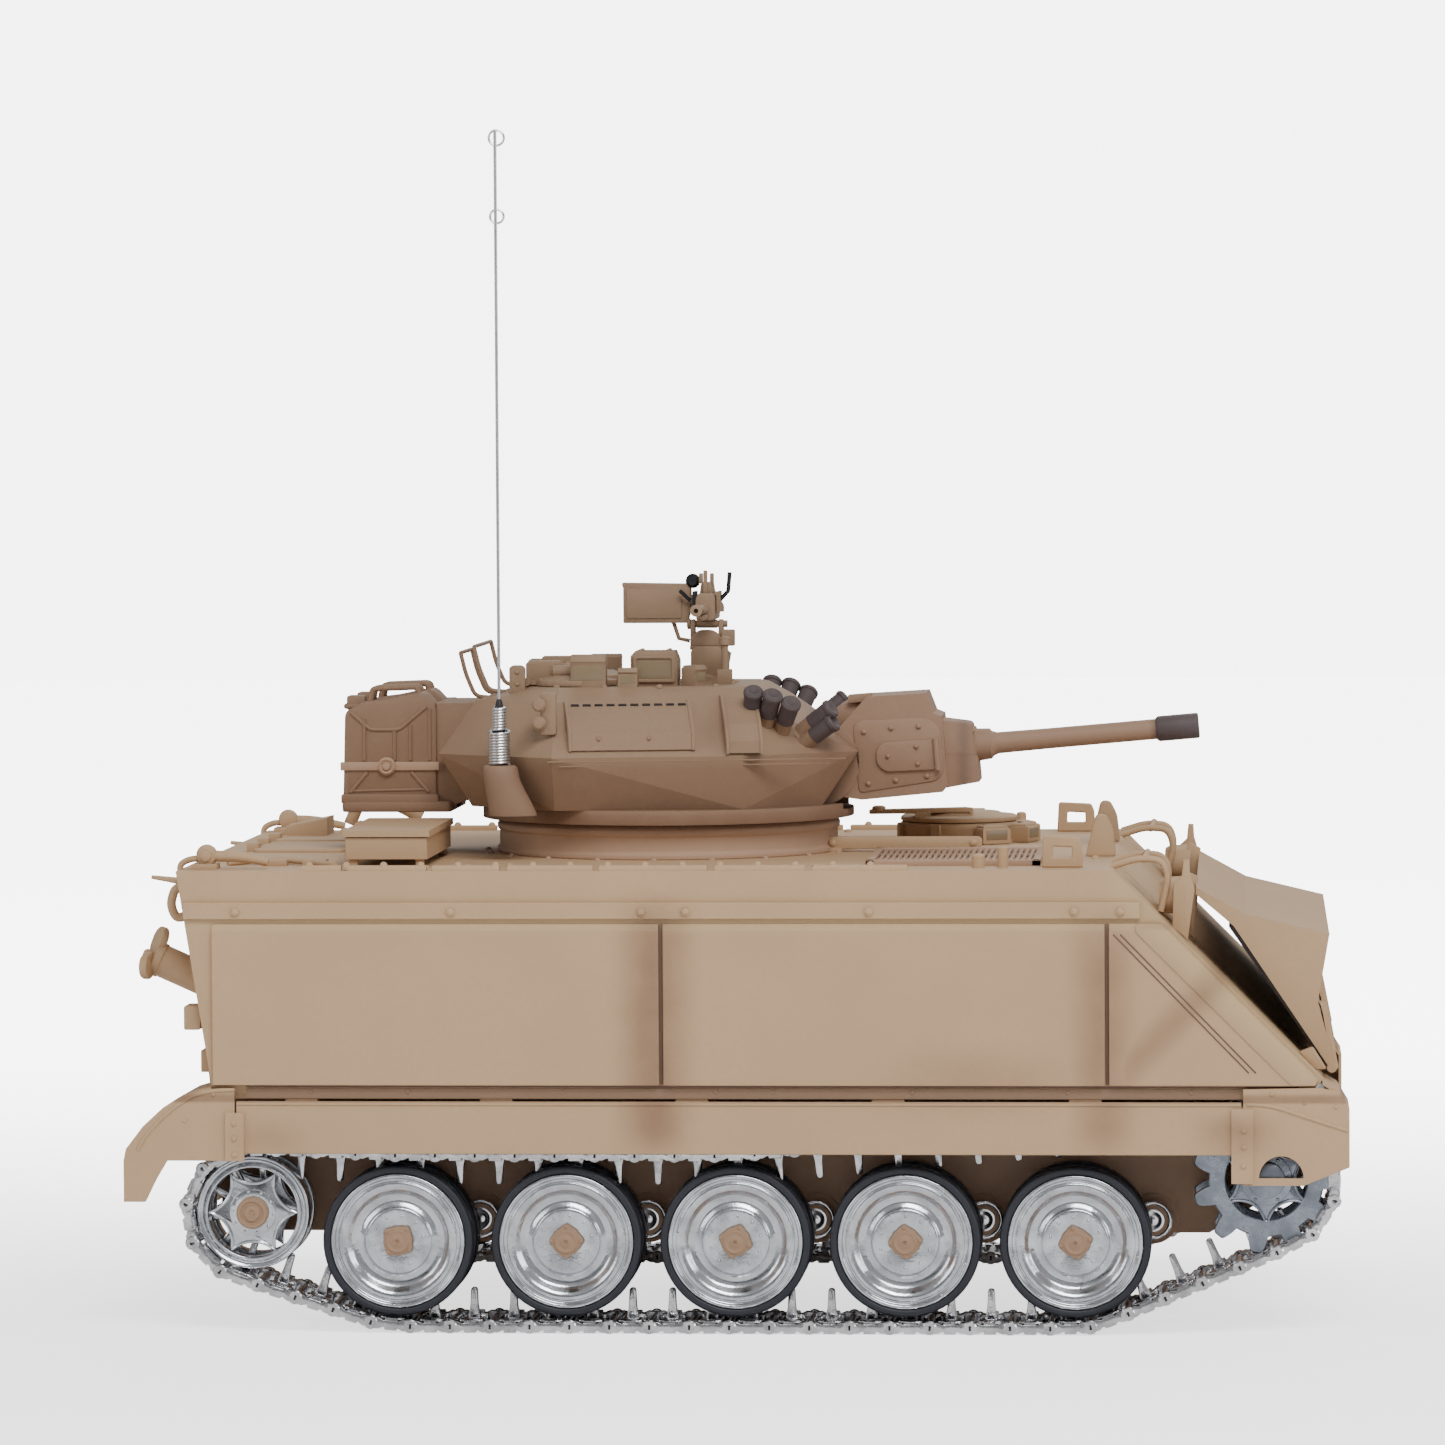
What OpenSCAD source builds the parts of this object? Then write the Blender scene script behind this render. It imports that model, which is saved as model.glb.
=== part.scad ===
// Remote-control tracked tank with a one-gun turret.
// +X is the front, +Y the left side, +Z up. The origin is on the ground, under the middle.

/* [Hull] */
// Width over the side panels
hull_w = 168; // [150:1:210]
// Height of the upper hull, from sponson floor to roof
hull_h = 56.2; // [50:0.1:70]
// Height of the nose edge above the sponson floor
nose_h = 5.2; // [4:0.1:8]
// How far the nose stands in front of the sprocket's axis
nose_reach = 13.8; // [13:0.1:24]
// How far the rear face's foot stands behind the idler's axis
rear_reach = 8.8; // [6:0.1:14]
// How far the rear face leans forward at its foot
rear_rake = 9; // [1:0.5:16]
// Wall of the upper hull
hull_wall = 1.6; // [1:0.1:2.4]
// Thickness of the raised side panels
panel_t = 1.4; // [1:0.1:2]
// Wall of the lower hull
tub_wall = 2; // [1.4:0.1:3]

/* [Running gear] */
// Wheels on each side
wheel_count = 5; // [4:1:6]
// Distance between neighbouring wheels
wheel_pitch = 41.7; // [39:0.1:50]
// Radius of the rubber tyre
tyre_r = 18.6; // [15.5:0.1:19.5]
// Thickness of the tyre's rubber
rubber_t = 1.95; // [1.5:0.05:3]
// Width over a pair of wheels
wheel_w = 17; // [14:0.5:18]
// Gap between the two wheels of a pair, for the guide horns
horn_gap = 5; // [4:0.5:6]
// Radius of the idler wheel
idler_r = 13.6; // [11:0.1:14]
// Teeth on a drive sprocket
sprocket_teeth = 11; // [10:1:12]
// Distance from the first wheel back to the idler
idler_reach = 36; // [35:0.5:44]
// Distance from the last wheel forward to the sprocket
sprocket_reach = 46.6; // [44:0.1:56]
// Length of a trailing arm, along the hull
arm_reach = 18.7; // [15:0.1:22]
// Radius of a wheel axle
axle_r = 2; // [1.5:0.1:2.6]
// Radius of a pivot or drive shaft
shaft_r = 3; // [2.4:0.1:3.6]

/* [Track] */
// Distance between neighbouring track pins
track_pitch = 9.83; // [8.6:0.01:11.8]
// Width of the track
track_w = 23.6; // [21:0.1:26]
// Height of a guide horn above the pin line
horn_h = 8.5; // [5:0.5:9]

/* [Turret] */
// Distance of the turret's axis in front of the middle of the roof
turret_shift = 0; // [-6:1:6]
// Outer radius of the turret race
race_r = 43; // [38:0.5:46]
// Height of the race above the roof
race_h = 8.6; // [7:0.1:12]
// Widest half width of the turret
turret_half_w = 52; // [50:0.5:60]
// Height of the turret's lower facets
lower_facet_h = 13.5; // [10:0.5:18]
// Height of the turret's upper facets
upper_facet_h = 16.7; // [13:0.1:22]
// Wall of the turret
turret_wall = 2.4; // [1.6:0.1:3]

/* [Gun] */
// Length of the barrel beyond the trunnion
gun_reach = 98.6; // [80:0.1:120]
// Radius of the barrel at the muzzle end
barrel_r = 2.7; // [2:0.05:3.5]
// How far the barrel is raised at rest, in degrees
gun_raise = 4.86; // [0:0.01:8]
// Radius of the mantlet's rotor
rotor_r = 11.2; // [9:0.1:11.6]
// Half width of the mantlet
mantlet_half_w = 13; // [11:0.1:16]

/* [Antenna] */
// Height of the antenna's tip above its foot
antenna_h = 171; // [100:1:240]

/* [Hidden] */
SMOOTH = 48;
SMALL = 24;
RUN_FIT = 0.1;    // radial clearance of a shaft in its hole
AIR = 0.3;        // gap between pieces that move past each other
BOND = 0.05;      // gap that keeps bonded pieces apart as solids
EPS = 0.5;        // how far a cut runs past the face that it opens
RIGHT = -1;
LEFT = 1;

// Stations across the running gear
hull_half = hull_w / 2;
box_half = hull_half - panel_t;
skirt_t = 1;
skirt_gap = 1.6;
track_gap = 1.2;
track_y = hull_half - skirt_gap - track_w / 2;
tub_half = track_y - track_w / 2 - track_gap;
wheel_in = track_y - wheel_w / 2;
wheel_out = track_y + wheel_w / 2;
arm_t = 2.8;
disc_r = tyre_r - rubber_t;
arm_in = tub_half + 1;

// Heights of the running gear
link_out = 1.7;
link_in = 1.6;
tyre_lift = 0.5;
hub_z = link_out + link_in + tyre_lift + tyre_r;
run_r = tyre_r + tyre_lift + link_in;
pivot_rise = 3.6;
arm_lift_max = 3.5;
idler_z = hub_z + 6.9;
sprocket_z = hub_z + 15.7;
wheelbase = wheel_pitch * (wheel_count - 1);
first_wheel_x = 0.2 - wheelbase / 2;
last_wheel_x = first_wheel_x + wheelbase;
idler_x = first_wheel_x - idler_reach;
sprocket_x = last_wheel_x + sprocket_reach;
sprocket_pin_r = sprocket_teeth * track_pitch / (2 * PI);
idler_pin_r = idler_r + 2.6;
drum_r = sprocket_pin_r * cos(180 / sprocket_teeth) - link_in - 0.5;
top_run_z = hub_z + tyre_r + link_in + arm_reach * sin(arm_lift_max) + AIR;
tub_rear = idler_x - 10.7;
skirt_foot = top_run_z + 0.4;

// Stations along and up the hull
belly_z = hub_z + 0.1;
sponson_z = sprocket_z + sprocket_pin_r + link_out + 0.79;
nose_z = sponson_z + nose_h;
roof_z = sponson_z + hull_h;
nose_x = sprocket_x + nose_reach;
nose_foot_x = nose_x - 4.5;
tub_nose_x = nose_foot_x;
rear_foot = idler_x - rear_reach;
roof_rear = rear_foot - rear_rake;
roof_front = nose_x - (roof_z - nose_z);
hull_mid = (roof_front + roof_rear) / 2;
belt_h = 3.4;
belt_in = 0.8;
panel_foot = sponson_z + belt_h + 0.2;
panel_top = roof_z - 13;
flange_z = roof_z - 11.8;
flange_h = 4.1;

// Stations of the turret
turret_x = hull_mid + turret_shift;
race_wall = 4;
ring_z = roof_z + race_h + AIR;
flange_r = race_r + 4.5;
base_z = ring_z + 3.6;
knuckle_z = base_z + lower_facet_h;
turret_top = knuckle_z + upper_facet_h;
turret_rear = turret_x - 56;
turret_front = turret_x + 49.7;
trunnion_x = turret_x + 38.4;
trunnion_z = knuckle_z - 3.3;

// Driver's hatch, engine grille and roof box
driver_x = roof_front - 42;
driver_y = 35;
driver_r = 15.5;
driver_ring_h = 5.2;
grille_x = [roof_front - 61, roof_front - 18];
grille_y = [-66, -16];
grille_h = 1.5;
slat_count = 15;
box_x = [roof_rear + 40.4, roof_rear + 60.8];
box_y = [-70, -18];
box_foot_h = 2;
box_wall_t = 1.2;
box_body_h = 5.4;
box_lid_h = 1.8;

// Centre of each wheel, and the sign of each side
function wheel_x(i) = first_wheel_x + i * wheel_pitch;

RIGHT_WHEELS = [for (i = [1:wheel_count]) str("road_wheel_r", i)];
LEFT_WHEELS = [for (i = [1:wheel_count]) str("road_wheel_l", i)];
RIGHT_ARMS = [for (i = [1:wheel_count]) str("swing_arm_r", i)];
LEFT_ARMS = [for (i = [1:wheel_count]) str("swing_arm_l", i)];

// ---- Shared shapes ----

// An outline in X and Z, carried from y0 to y1
module xz(points, y0, y1) {
    translate([0, y1, 0]) rotate([90, 0, 0]) linear_extrude(y1 - y0) polygon(points);
}

// An outline in Y and Z, carried from x0 to x1
module yz(points, x0, x1) {
    translate([x0, 0, 0]) rotate([90, 0, 90]) linear_extrude(x1 - x0) polygon(points);
}

// A box from its lowest corner to its highest
module block(low, high) {
    translate(low) cube(high - low);
}

// A round bar along Y from y0 to y1
module bar_y(x, z, r, y0, y1, sides = SMOOTH) {
    translate([x, y1, z]) rotate([90, 0, 0]) cylinder(r = r, h = y1 - y0, $fn = sides);
}

// A round bar along X from x0 to x1
module bar_x(y, z, r, x0, x1, sides = SMALL) {
    translate([x0, y, z]) rotate([0, 90, 0]) cylinder(r = r, h = x1 - x0, $fn = sides);
}

// The children as drawn for the left side, or mirrored for the right
module on_side(side) {
    if (side > 0) children();
    else mirror([0, 1, 0]) children();
}

module both_sides() {
    children();
    mirror([0, 1, 0]) children();
}

// ---- Hull ----

function hull_outline() = [
    [roof_rear, roof_z], [roof_front, roof_z], [nose_x, nose_z],
    [nose_foot_x, sponson_z], [rear_foot, sponson_z]
];

function tub_outline() = [
    [tub_rear, sponson_z], [tub_rear, belly_z + 6], [tub_rear + 5, belly_z],
    [sprocket_x - 14, belly_z], [sprocket_x + 7.5, sprocket_z - 2.5], [tub_nose_x, sponson_z]
];

// Height of the glacis at x
function glacis_z(x) = roof_z - (x - roof_front) * (roof_z - nose_z) / (nose_x - roof_front);

// Rear edge of the hull at height z
function rear_x(z) = roof_rear + rear_rake * (roof_z - z) / (roof_z - sponson_z);

pivot_r = shaft_r + 2;
pivot_depth = 6;
doorway_half = 42;

module lower_hull() color("tan") difference() {
    union() {
        difference() {
            xz(tub_outline(), -tub_half, tub_half);
            translate([0, tub_half - tub_wall, 0]) rotate([90, 0, 0])
                linear_extrude(2 * (tub_half - tub_wall)) offset(delta = -tub_wall)
                    polygon(tub_outline());
            block([tub_rear + tub_wall, -tub_half + tub_wall, sponson_z - tub_wall - EPS],
                  [tub_nose_x - 1.6 * tub_wall, tub_half - tub_wall, sponson_z + EPS]);
        }
        both_sides() {
            for (i = [0:wheel_count - 1])
                bar_y(wheel_x(i) + arm_reach, hub_z + pivot_rise, pivot_r + 1.2,
                      tub_half - pivot_depth, tub_half + 0.6);
            bar_y(sprocket_x, sprocket_z, 9, tub_half - EPS, tub_half + 2.4);
            bar_y(idler_x, idler_z, 5.5, tub_half - EPS, tub_half + 2.4);
            bar_y(idler_x, idler_z, axle_r, tub_half, wheel_out + 0.6);
        }
    }
    both_sides() {
        for (i = [0:wheel_count - 1])
            bar_y(wheel_x(i) + arm_reach, hub_z + pivot_rise, shaft_r + RUN_FIT,
                  tub_half - pivot_depth - EPS, tub_half + 1);
        bar_y(sprocket_x, sprocket_z, shaft_r + RUN_FIT, tub_half - tub_wall - EPS, tub_half + 3);
    }
}

module upper_hull() color("tan") difference() {
    xz(hull_outline(), -box_half, box_half);
    translate([0, box_half - hull_wall, 0]) rotate([90, 0, 0])
        linear_extrude(2 * (box_half - hull_wall)) offset(delta = -hull_wall)
            polygon(hull_outline());
    both_sides() block([rear_foot - 20, box_half - belt_in, sponson_z - EPS],
                       [nose_x + EPS, box_half + EPS, sponson_z + belt_h]);
    block([tub_rear + tub_wall, -tub_half + tub_wall, sponson_z - EPS],
          [nose_foot_x - 8, tub_half - tub_wall, sponson_z + hull_wall + EPS]);
    translate([turret_x, 0, roof_z - hull_wall - EPS])
        cylinder(r = race_r - race_wall, h = hull_wall + 2 * EPS, $fn = SMOOTH);
    translate([driver_x, driver_y, roof_z - hull_wall - EPS])
        cylinder(r = driver_r - 3, h = hull_wall + 2 * EPS, $fn = SMOOTH);
    block([grille_x[0] + 3, grille_y[0] + 3, roof_z - hull_wall - EPS],
          [grille_x[1] - 3, grille_y[1] - 3, roof_z + EPS]);
    block([roof_rear - EPS, -doorway_half, sponson_z + 5],
          [rear_foot + 6, doorway_half, roof_z - 14]);
}

panel_joint = 0.5;
panel_breaks = [roof_rear + 8.4, hull_mid + 4.6, roof_front - 1.4];

// The panels' cross-section: flat, with a bevelled upper edge
function panel_section() = [
    [box_half, panel_foot], [hull_half, panel_foot], [hull_half, panel_top - 1.6],
    [box_half + 0.4, panel_top], [box_half, panel_top]
];

function flange_section() = [
    [box_half, flange_z], [hull_half - 0.2, flange_z],
    [hull_half - 0.2, flange_z + flange_h], [box_half, flange_z + flange_h]
];

module side_panels() color("tan") both_sides() {
    for (i = [0:1]) intersection() {
        yz(panel_section(), roof_rear, nose_x);
        xz([[panel_breaks[i] + panel_joint, panel_foot], [panel_breaks[i + 1] - panel_joint, panel_foot],
            [panel_breaks[i + 1] - panel_joint, panel_top], [panel_breaks[i] + panel_joint, panel_top]],
           0, hull_half);
    }
    intersection() {
        yz(panel_section(), roof_rear, nose_x);
        xz([[panel_breaks[2] + panel_joint, panel_foot], [nose_x - 2, panel_foot],
            [nose_x - 1, nose_z], [nose_x - 1 - panel_top + nose_z, panel_top],
            [panel_breaks[2] + panel_joint, panel_top]],
           0, hull_half);
    }
    yz(flange_section(), rear_x(flange_z), roof_front + roof_z - flange_z - flange_h - 1);
}

skirt_rear = rear_foot + 5.7;
skirt_front = nose_x - 19.8;
fender_joint = 0.4;

module side_skirts() color("tan") both_sides() {
    block([skirt_rear, hull_half - skirt_t, skirt_foot], [skirt_front, hull_half, sponson_z - 0.4]);
    for (i = [0:4]) let (x = skirt_rear + 12 + i * (skirt_front - skirt_rear - 54) / 4)
        block([x, box_half - 6, sponson_z - 1], [x + 8, hull_half - skirt_t, sponson_z]);
}

fender_t = 0.8;
fender_in = tub_half + 1.2;
fender_out = hull_half - skirt_t;
strap_t = 0.8;

// Outlines are drawn from the nose edge's foot: x from nose_x, z from the sponson floor
module front_fenders() color("tan") both_sides() translate([nose_x, 0, sponson_z]) {
    rear = skirt_front + fender_joint - nose_x;
    foot = sprocket_z - 1 - sponson_z;
    difference() {
        xz([[-0.5, 3.2], [3.6, 2.2], [6.4, -2], [6.4, foot + 4.5], [-4.7, foot], [rear, foot],
            [rear, 2.8]], fender_out, hull_half);
        intersection() {
            bar_y(-10.2, foot + 1.8, 5.4, hull_half - 3, hull_half + 1);
            block([-20, hull_half - 3, foot + 1.8], [0, hull_half + 1, foot + 12]);
        }
    }
    xz([[-0.2, nose_h - 0.4], [3.6, nose_h - 2.6], [6.4, -2], [6.4, foot + 4.5],
        [6.4 - fender_t, foot + 4.5], [6.4 - fender_t, -2.3], [3.1, nose_h - 3.5],
        [-0.2, nose_h - 1.4]], fender_in, fender_out);
    block([rear - 2.9, hull_half, foot + 0.5], [rear + 2.4, hull_half + strap_t, -1.9]);
}

// Outlines are drawn from the rear face's foot, on the sponson floor
module rear_fenders() color("tan") both_sides() translate([rear_foot, 0, sponson_z]) {
    front = skirt_rear - fender_joint - rear_foot;
    xz([[front, 2.8], [-1, 2.6], [-7, 1.1], [-12.5, -2], [-17.5, -6.6], [-21.8, -12.2],
        [-22.4, -15.1], [-22.4, -25.3], [-17, -25.3], [-14.3, -19.8], [-11.5, -15.1],
        [front, -15.1]], fender_out, hull_half);
    xz([[-0.6, 3], [-7, 1.1], [-12.5, -2], [-17.5, -6.6], [-21.8, -12.2], [-22.4, -15.1],
        [-22.4, -25.3], [-21.6, -25.3], [-21.6, -15.3], [-21.1, -12.8], [-16.9, -7.2],
        [-12, -2.7], [-6.7, 0.3], [-0.6, 2.2]], fender_in, fender_out);
    block([front - 2.3, hull_half, -15.1], [front + 2.4, hull_half + strap_t, -3.2]);
}

module engine_grille() color("tan") {
    difference() {
        block([grille_x[0], grille_y[0], roof_z], [grille_x[1], grille_y[1], roof_z + grille_h]);
        block([grille_x[0] + 2, grille_y[0] + 2, roof_z - EPS],
              [grille_x[1] - 2, grille_y[1] - 2, roof_z + grille_h + EPS]);
    }
    slat_step = (grille_x[1] - grille_x[0] - 4) / slat_count;
    for (i = [0:slat_count - 1])
        block([grille_x[0] + 2 + (i + 0.3) * slat_step, grille_y[0] + 2, roof_z],
              [grille_x[0] + 2 + (i + 0.75) * slat_step, grille_y[1] - 2, roof_z + grille_h - 0.3]);
}

hinge_r = 1.2;
driver_hinge_y = driver_y + driver_r + 2.4;
driver_hinge_z = roof_z + driver_ring_h + 1;

module driver_cupola() color("tan") {
    translate([driver_x, driver_y, roof_z]) difference() {
        cylinder(r = driver_r, h = driver_ring_h, $fn = SMOOTH);
        translate([0, 0, -EPS]) cylinder(r = driver_r - 3, h = driver_ring_h + 2 * EPS, $fn = SMOOTH);
    }
    for (a = [-60:40:20]) translate([driver_x, driver_y, roof_z]) rotate([0, 0, a])
        block([driver_r + 0.4, -4, 0], [driver_r + 5.4, 4, driver_ring_h - 0.6]);
    for (x = [-6, 4]) {
        block([driver_x + x, driver_y + driver_r + 0.4, roof_z],
              [driver_x + x + 2, driver_hinge_y + hinge_r, driver_hinge_z - hinge_r - 0.2]);
    }
}

module driver_hatch() color("tan") {
    translate([driver_x, driver_y, roof_z + driver_ring_h + 0.2]) {
        cylinder(r = driver_r - 0.2, h = 1.4, $fn = SMOOTH);
        translate([0, 0, 1.4]) cylinder(r1 = driver_r - 3, r2 = driver_r - 5, h = 0.8, $fn = SMOOTH);
    }
    block([driver_x - 5, driver_y + driver_r - 2, roof_z + driver_ring_h + 0.2],
          [driver_x + 5, driver_hinge_y, roof_z + driver_ring_h + 1.4]);
    bar_x(driver_hinge_y, driver_hinge_z, hinge_r, driver_x - 6, driver_x + 6);
    block([driver_x - 16, driver_y - 9, roof_z + driver_ring_h + 1.6],
          [driver_x + 8, driver_y - 5.5, roof_z + driver_ring_h + 3.2]);
}

box_top = roof_z + box_foot_h + box_body_h;
lid_hinge_x = box_x[0] - 1.6;
lid_hinge_z = box_top + 0.9;

module roof_box() color("tan") {
    difference() {
        block([box_x[0], box_y[0], roof_z + box_foot_h], [box_x[1], box_y[1], box_top]);
        block([box_x[0] + box_wall_t, box_y[0] + box_wall_t, roof_z + box_foot_h + 1],
              [box_x[1] - box_wall_t, box_y[1] - box_wall_t, box_top + EPS]);
    }
    for (x = [box_x[0] + 1, box_x[1] - 3], y = [box_y[0] + 1, box_y[1] - 3])
        block([x, y, roof_z], [x + 2, y + 2, roof_z + box_foot_h]);
}

module roof_box_lid() color("tan") {
    block([box_x[0] - 0.6, box_y[0] - 0.6, box_top + 0.2],
          [box_x[1] + 0.6, box_y[1] + 0.6, box_top + box_lid_h]);
    for (y = [box_y[0] + 8, box_y[1] - 14]) {
        bar_y(lid_hinge_x, lid_hinge_z, 0.8, y, y + 6, SMALL);
        block([lid_hinge_x, y, lid_hinge_z - 0.4], [box_x[0], y + 6, lid_hinge_z + 0.4]);
    }
}

// ---- Bow and rear ----

lamp_y = [57, 67];
lamp_x = roof_front + 11.6;
lamp_z = roof_z - 7.5;
lamp_r = 4;
lamp_len = 6.5;

module headlamps() color("tan") both_sides() {
    for (y = lamp_y) difference() {
        bar_x(y, lamp_z, lamp_r, lamp_x, lamp_x + lamp_len);
        bar_x(y, lamp_z, lamp_r - 0.7, lamp_x + lamp_len - 2, lamp_x + lamp_len + EPS);
    }
    block([lamp_x, lamp_y[0] + lamp_r - 1, lamp_z - 2], [lamp_x + 3, lamp_y[1] - lamp_r + 1, lamp_z + 2]);
    xz([[lamp_x - 5, glacis_z(lamp_x - 5)], [lamp_x + 0.4, glacis_z(lamp_x - 5)],
        [lamp_x + 0.4, glacis_z(lamp_x + 0.4)]], lamp_y[0] - 3, lamp_y[1] + 3);
}

module headlamp_lenses() color("silver") both_sides() for (y = lamp_y)
    bar_x(y, lamp_z, lamp_r - 0.8, lamp_x + lamp_len - 1.9, lamp_x + lamp_len - 0.4);

vane_hinge_x = nose_x + 2.3;
vane_hinge_z = nose_z + 1.6;
vane_half = 70;

module bow_fittings() color("tan") {
    both_sides() translate([roof_front, 0, 0]) {
        xz([[-7.7, roof_z], [0, roof_z], [-0.6, roof_z + 6.5], [-2.4, roof_z + 10.5],
            [-5, roof_z + 10.5]], 28, 31);
        difference() {
            block([-17.5, 71, roof_z], [-7.4, 73, roof_z + 7.6]);
            block([-14.8, 70, roof_z + 2.2], [-10.2, 74, roof_z + 5.8]);
        }
        for (x = [-33, -27]) translate([x, 72, roof_z]) cylinder(r = 1.6, h = 3.2, $fn = SMALL);
    }
    both_sides() translate([nose_x, 0, nose_z])
        xz([[-6, 6], [-1.6, 1.6], [1, 1.6], [-3.4, 7.4]], 72, 75);
    translate([roof_front, 0, roof_z]) {
        block([-68.6, -12, 0.6], [-34.1, -10, 4]);
        for (x = [-65, -41]) block([x, -12, 0], [x + 3, -10, 0.6]);
    }
}

module trim_vane() color("tan") {
    translate([nose_x, 0, nose_z]) xz([
        [-30.8, 46], [-18.6, 39.3], [1.8, 34.4], [-1.1, 17.8], [3.1, 1.6], [1.3, 2.2],
        [-21.6, 36.4], [-30.8, 44.2]
    ], -vane_half, vane_half);
    bar_y(vane_hinge_x, vane_hinge_z, 1.2, -vane_half, vane_half, SMALL);
}

ramp_half = 52;
ramp_t = 2.4;
ramp_foot = belly_z + 8;
ramp_hinge_x = tub_rear - 3.2;

module rear_ramp() color("tan") {
    xz([[tub_rear - 0.4, ramp_foot + 1], [tub_rear - 0.4, sponson_z - 3],
        [rear_x(roof_z - 10) - 0.4, roof_z - 10], [rear_x(roof_z - 10) - ramp_t - 0.4, roof_z - 10],
        [tub_rear - ramp_t - 0.8, sponson_z - 3], [tub_rear - ramp_t - 0.8, ramp_foot + 1]],
       -ramp_half, ramp_half);
    bar_y(ramp_hinge_x + 1.2, ramp_foot, 1.2, -ramp_half, ramp_half, SMALL);
}

module rear_fittings() color("tan") {
    for (y = [-76, 70]) translate([roof_rear, y, roof_z]) {
        block([3, 0, 0], [7, 6, 2.4]);
        bar_x(3, 4.4, 2, 3, 20);
        block([16, 1, 0], [19, 5, 3]);
    }
    both_sides() {
        top = roof_z - 3.4;
        foot = roof_z - 15.6;
        xz([[rear_x(top) - 0.05, top], [roof_rear - 9.5, top], [roof_rear - 12.4, top - 4.6],
            [roof_rear - 7, foot], [rear_x(foot) - 0.05, foot]], 66, 70);
        bar_x(60, roof_z - 30, 4, roof_rear - 10.4, rear_x(roof_z - 26) + 0.02);
        bar_x(60, roof_z - 30, 5.4, roof_rear - 12.6, roof_rear - 10.4);
        block([roof_rear - 1.6, 72, roof_z - 42], [rear_x(roof_z - 35), 78, roof_z - 35]);
    }
}

bolt_r = 0.95;
bolt_h = 0.5;
flange_bolts = concat([for (i = [0:2]) roof_rear + 14.8 + i * (hull_mid - roof_rear - 14.9) / 2],
                      [for (i = [0:2]) hull_mid + 10.7 + i * 48], [roof_front + 1.9]);
belt_bolts = [for (i = [0:12]) skirt_rear + 12 + i * (skirt_front - skirt_rear - 18) / 12];

module hull_bolts() color("tan") both_sides() {
    for (x = flange_bolts) bar_y(x, flange_z + 1.7, bolt_r, hull_half - 0.2, hull_half + bolt_h - 0.2, SMALL);
    for (x = belt_bolts)
        bar_y(x, sponson_z + 1.7, 0.7, box_half - belt_in, box_half - belt_in + 0.5, SMALL);
}

// ---- Drive, inside the lower hull ----

module gearmotors() color("dimgray") both_sides() {
    gearbox_face = tub_half - tub_wall - 0.4;
    block([sprocket_x - 21.6, gearbox_face - 14, sprocket_z - 7],
          [sprocket_x - 4.4, gearbox_face, sprocket_z + 9]);
    bar_y(sprocket_x - 13, sprocket_z + 1, 7.4, gearbox_face - 44, gearbox_face - 14);
}

module battery_pack() color("royalblue")
    block([hull_mid - 38, -24, belly_z + tub_wall], [hull_mid + 32, 24, belly_z + tub_wall + 22]);

module control_board() color("darkgreen") translate([hull_mid, 0, belly_z + tub_wall]) {
    block([46, -34, 4], [106, 34, 5.6]);
    for (x = [49, 100], y = [-31, 31]) translate([x, y, 0]) cylinder(r = 2, h = 4, $fn = SMALL);
    block([56, -12, 5.6], [72, 8, 9]);
    block([82, -20, 5.6], [98, -6, 14]);
}

module speaker() color("black") translate([hull_mid - 70, 0, belly_z + tub_wall]) {
    cylinder(r = 18, h = 3, $fn = SMOOTH);
    translate([0, 0, 3]) cylinder(r1 = 14, r2 = 7, h = 6, $fn = SMOOTH);
    translate([0, 0, 9]) cylinder(r = 9, h = 4, $fn = SMOOTH);
}

// ---- Running gear ----

// The track's pin line goes round these circles: x, z and radius, anticlockwise from the idler
run_circles = [
    [idler_x, idler_z, idler_pin_r],
    [first_wheel_x, hub_z, run_r],
    [last_wheel_x, hub_z, run_r],
    [sprocket_x, sprocket_z, sprocket_pin_r],
    [first_wheel_x + 2 * wheel_pitch, top_run_z, 0],
    [first_wheel_x, top_run_z, 0]
];
run_n = len(run_circles);

function turned(a) = a - 360 * floor((a + 180) / 360);

// Heading of the straight run that leaves circle i for the next one
function heading(i) =
    let (a = run_circles[i], b = run_circles[(i + 1) % run_n])
    let (dx = b[0] - a[0], dz = b[1] - a[1])
    atan2(dz, dx) + asin((a[2] - b[2]) / sqrt(dx * dx + dz * dz));

// Points where the pin line rounds circle i
function rounding(i) =
    let (c = run_circles[i], h0 = heading((i + run_n - 1) % run_n) - 90)
    let (turn = turned(heading(i) - 90 - h0), steps = c[2] > 0 ? ceil(abs(turn) / 5) : 1)
    c[2] == 0 ? [[c[0], c[1]]]
    : [for (k = [0:steps]) [c[0] + c[2] * cos(h0 + turn * k / steps),
                            c[1] + c[2] * sin(h0 + turn * k / steps)]];

run_points = [for (i = [0:run_n - 1]) each rounding(i)];
run_count = len(run_points);
run_steps = [for (k = [0:run_count - 1]) norm(run_points[(k + 1) % run_count] - run_points[k])];
run_sums = [for (k = 0, total = 0; k <= run_count;
                 total = total + (k < run_count ? run_steps[k] : 0), k = k + 1) total];
run_len = run_sums[run_count];
link_count = round(run_len / track_pitch);
link_step = run_len / link_count;

// Distance along the pin line at which the sprocket's first tooth stands
sprocket_first = len([for (i = [0:2]) each rounding(i)]);
tooth_turn = turned(90 - heading(2));
mesh_at = run_sums[sprocket_first] + sprocket_pin_r * tooth_turn * PI / 180 - link_step / 2;

// The point at distance s along the pin line
function on_run(s) =
    let (t = s - run_len * floor(s / run_len))
    let (k = max([for (j = [0:run_count - 1]) run_sums[j] <= t ? j : 0]))
    let (share = (t - run_sums[k]) / run_steps[k])
    run_points[k] + share * (run_points[(k + 1) % run_count] - run_points[k]);

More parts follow.
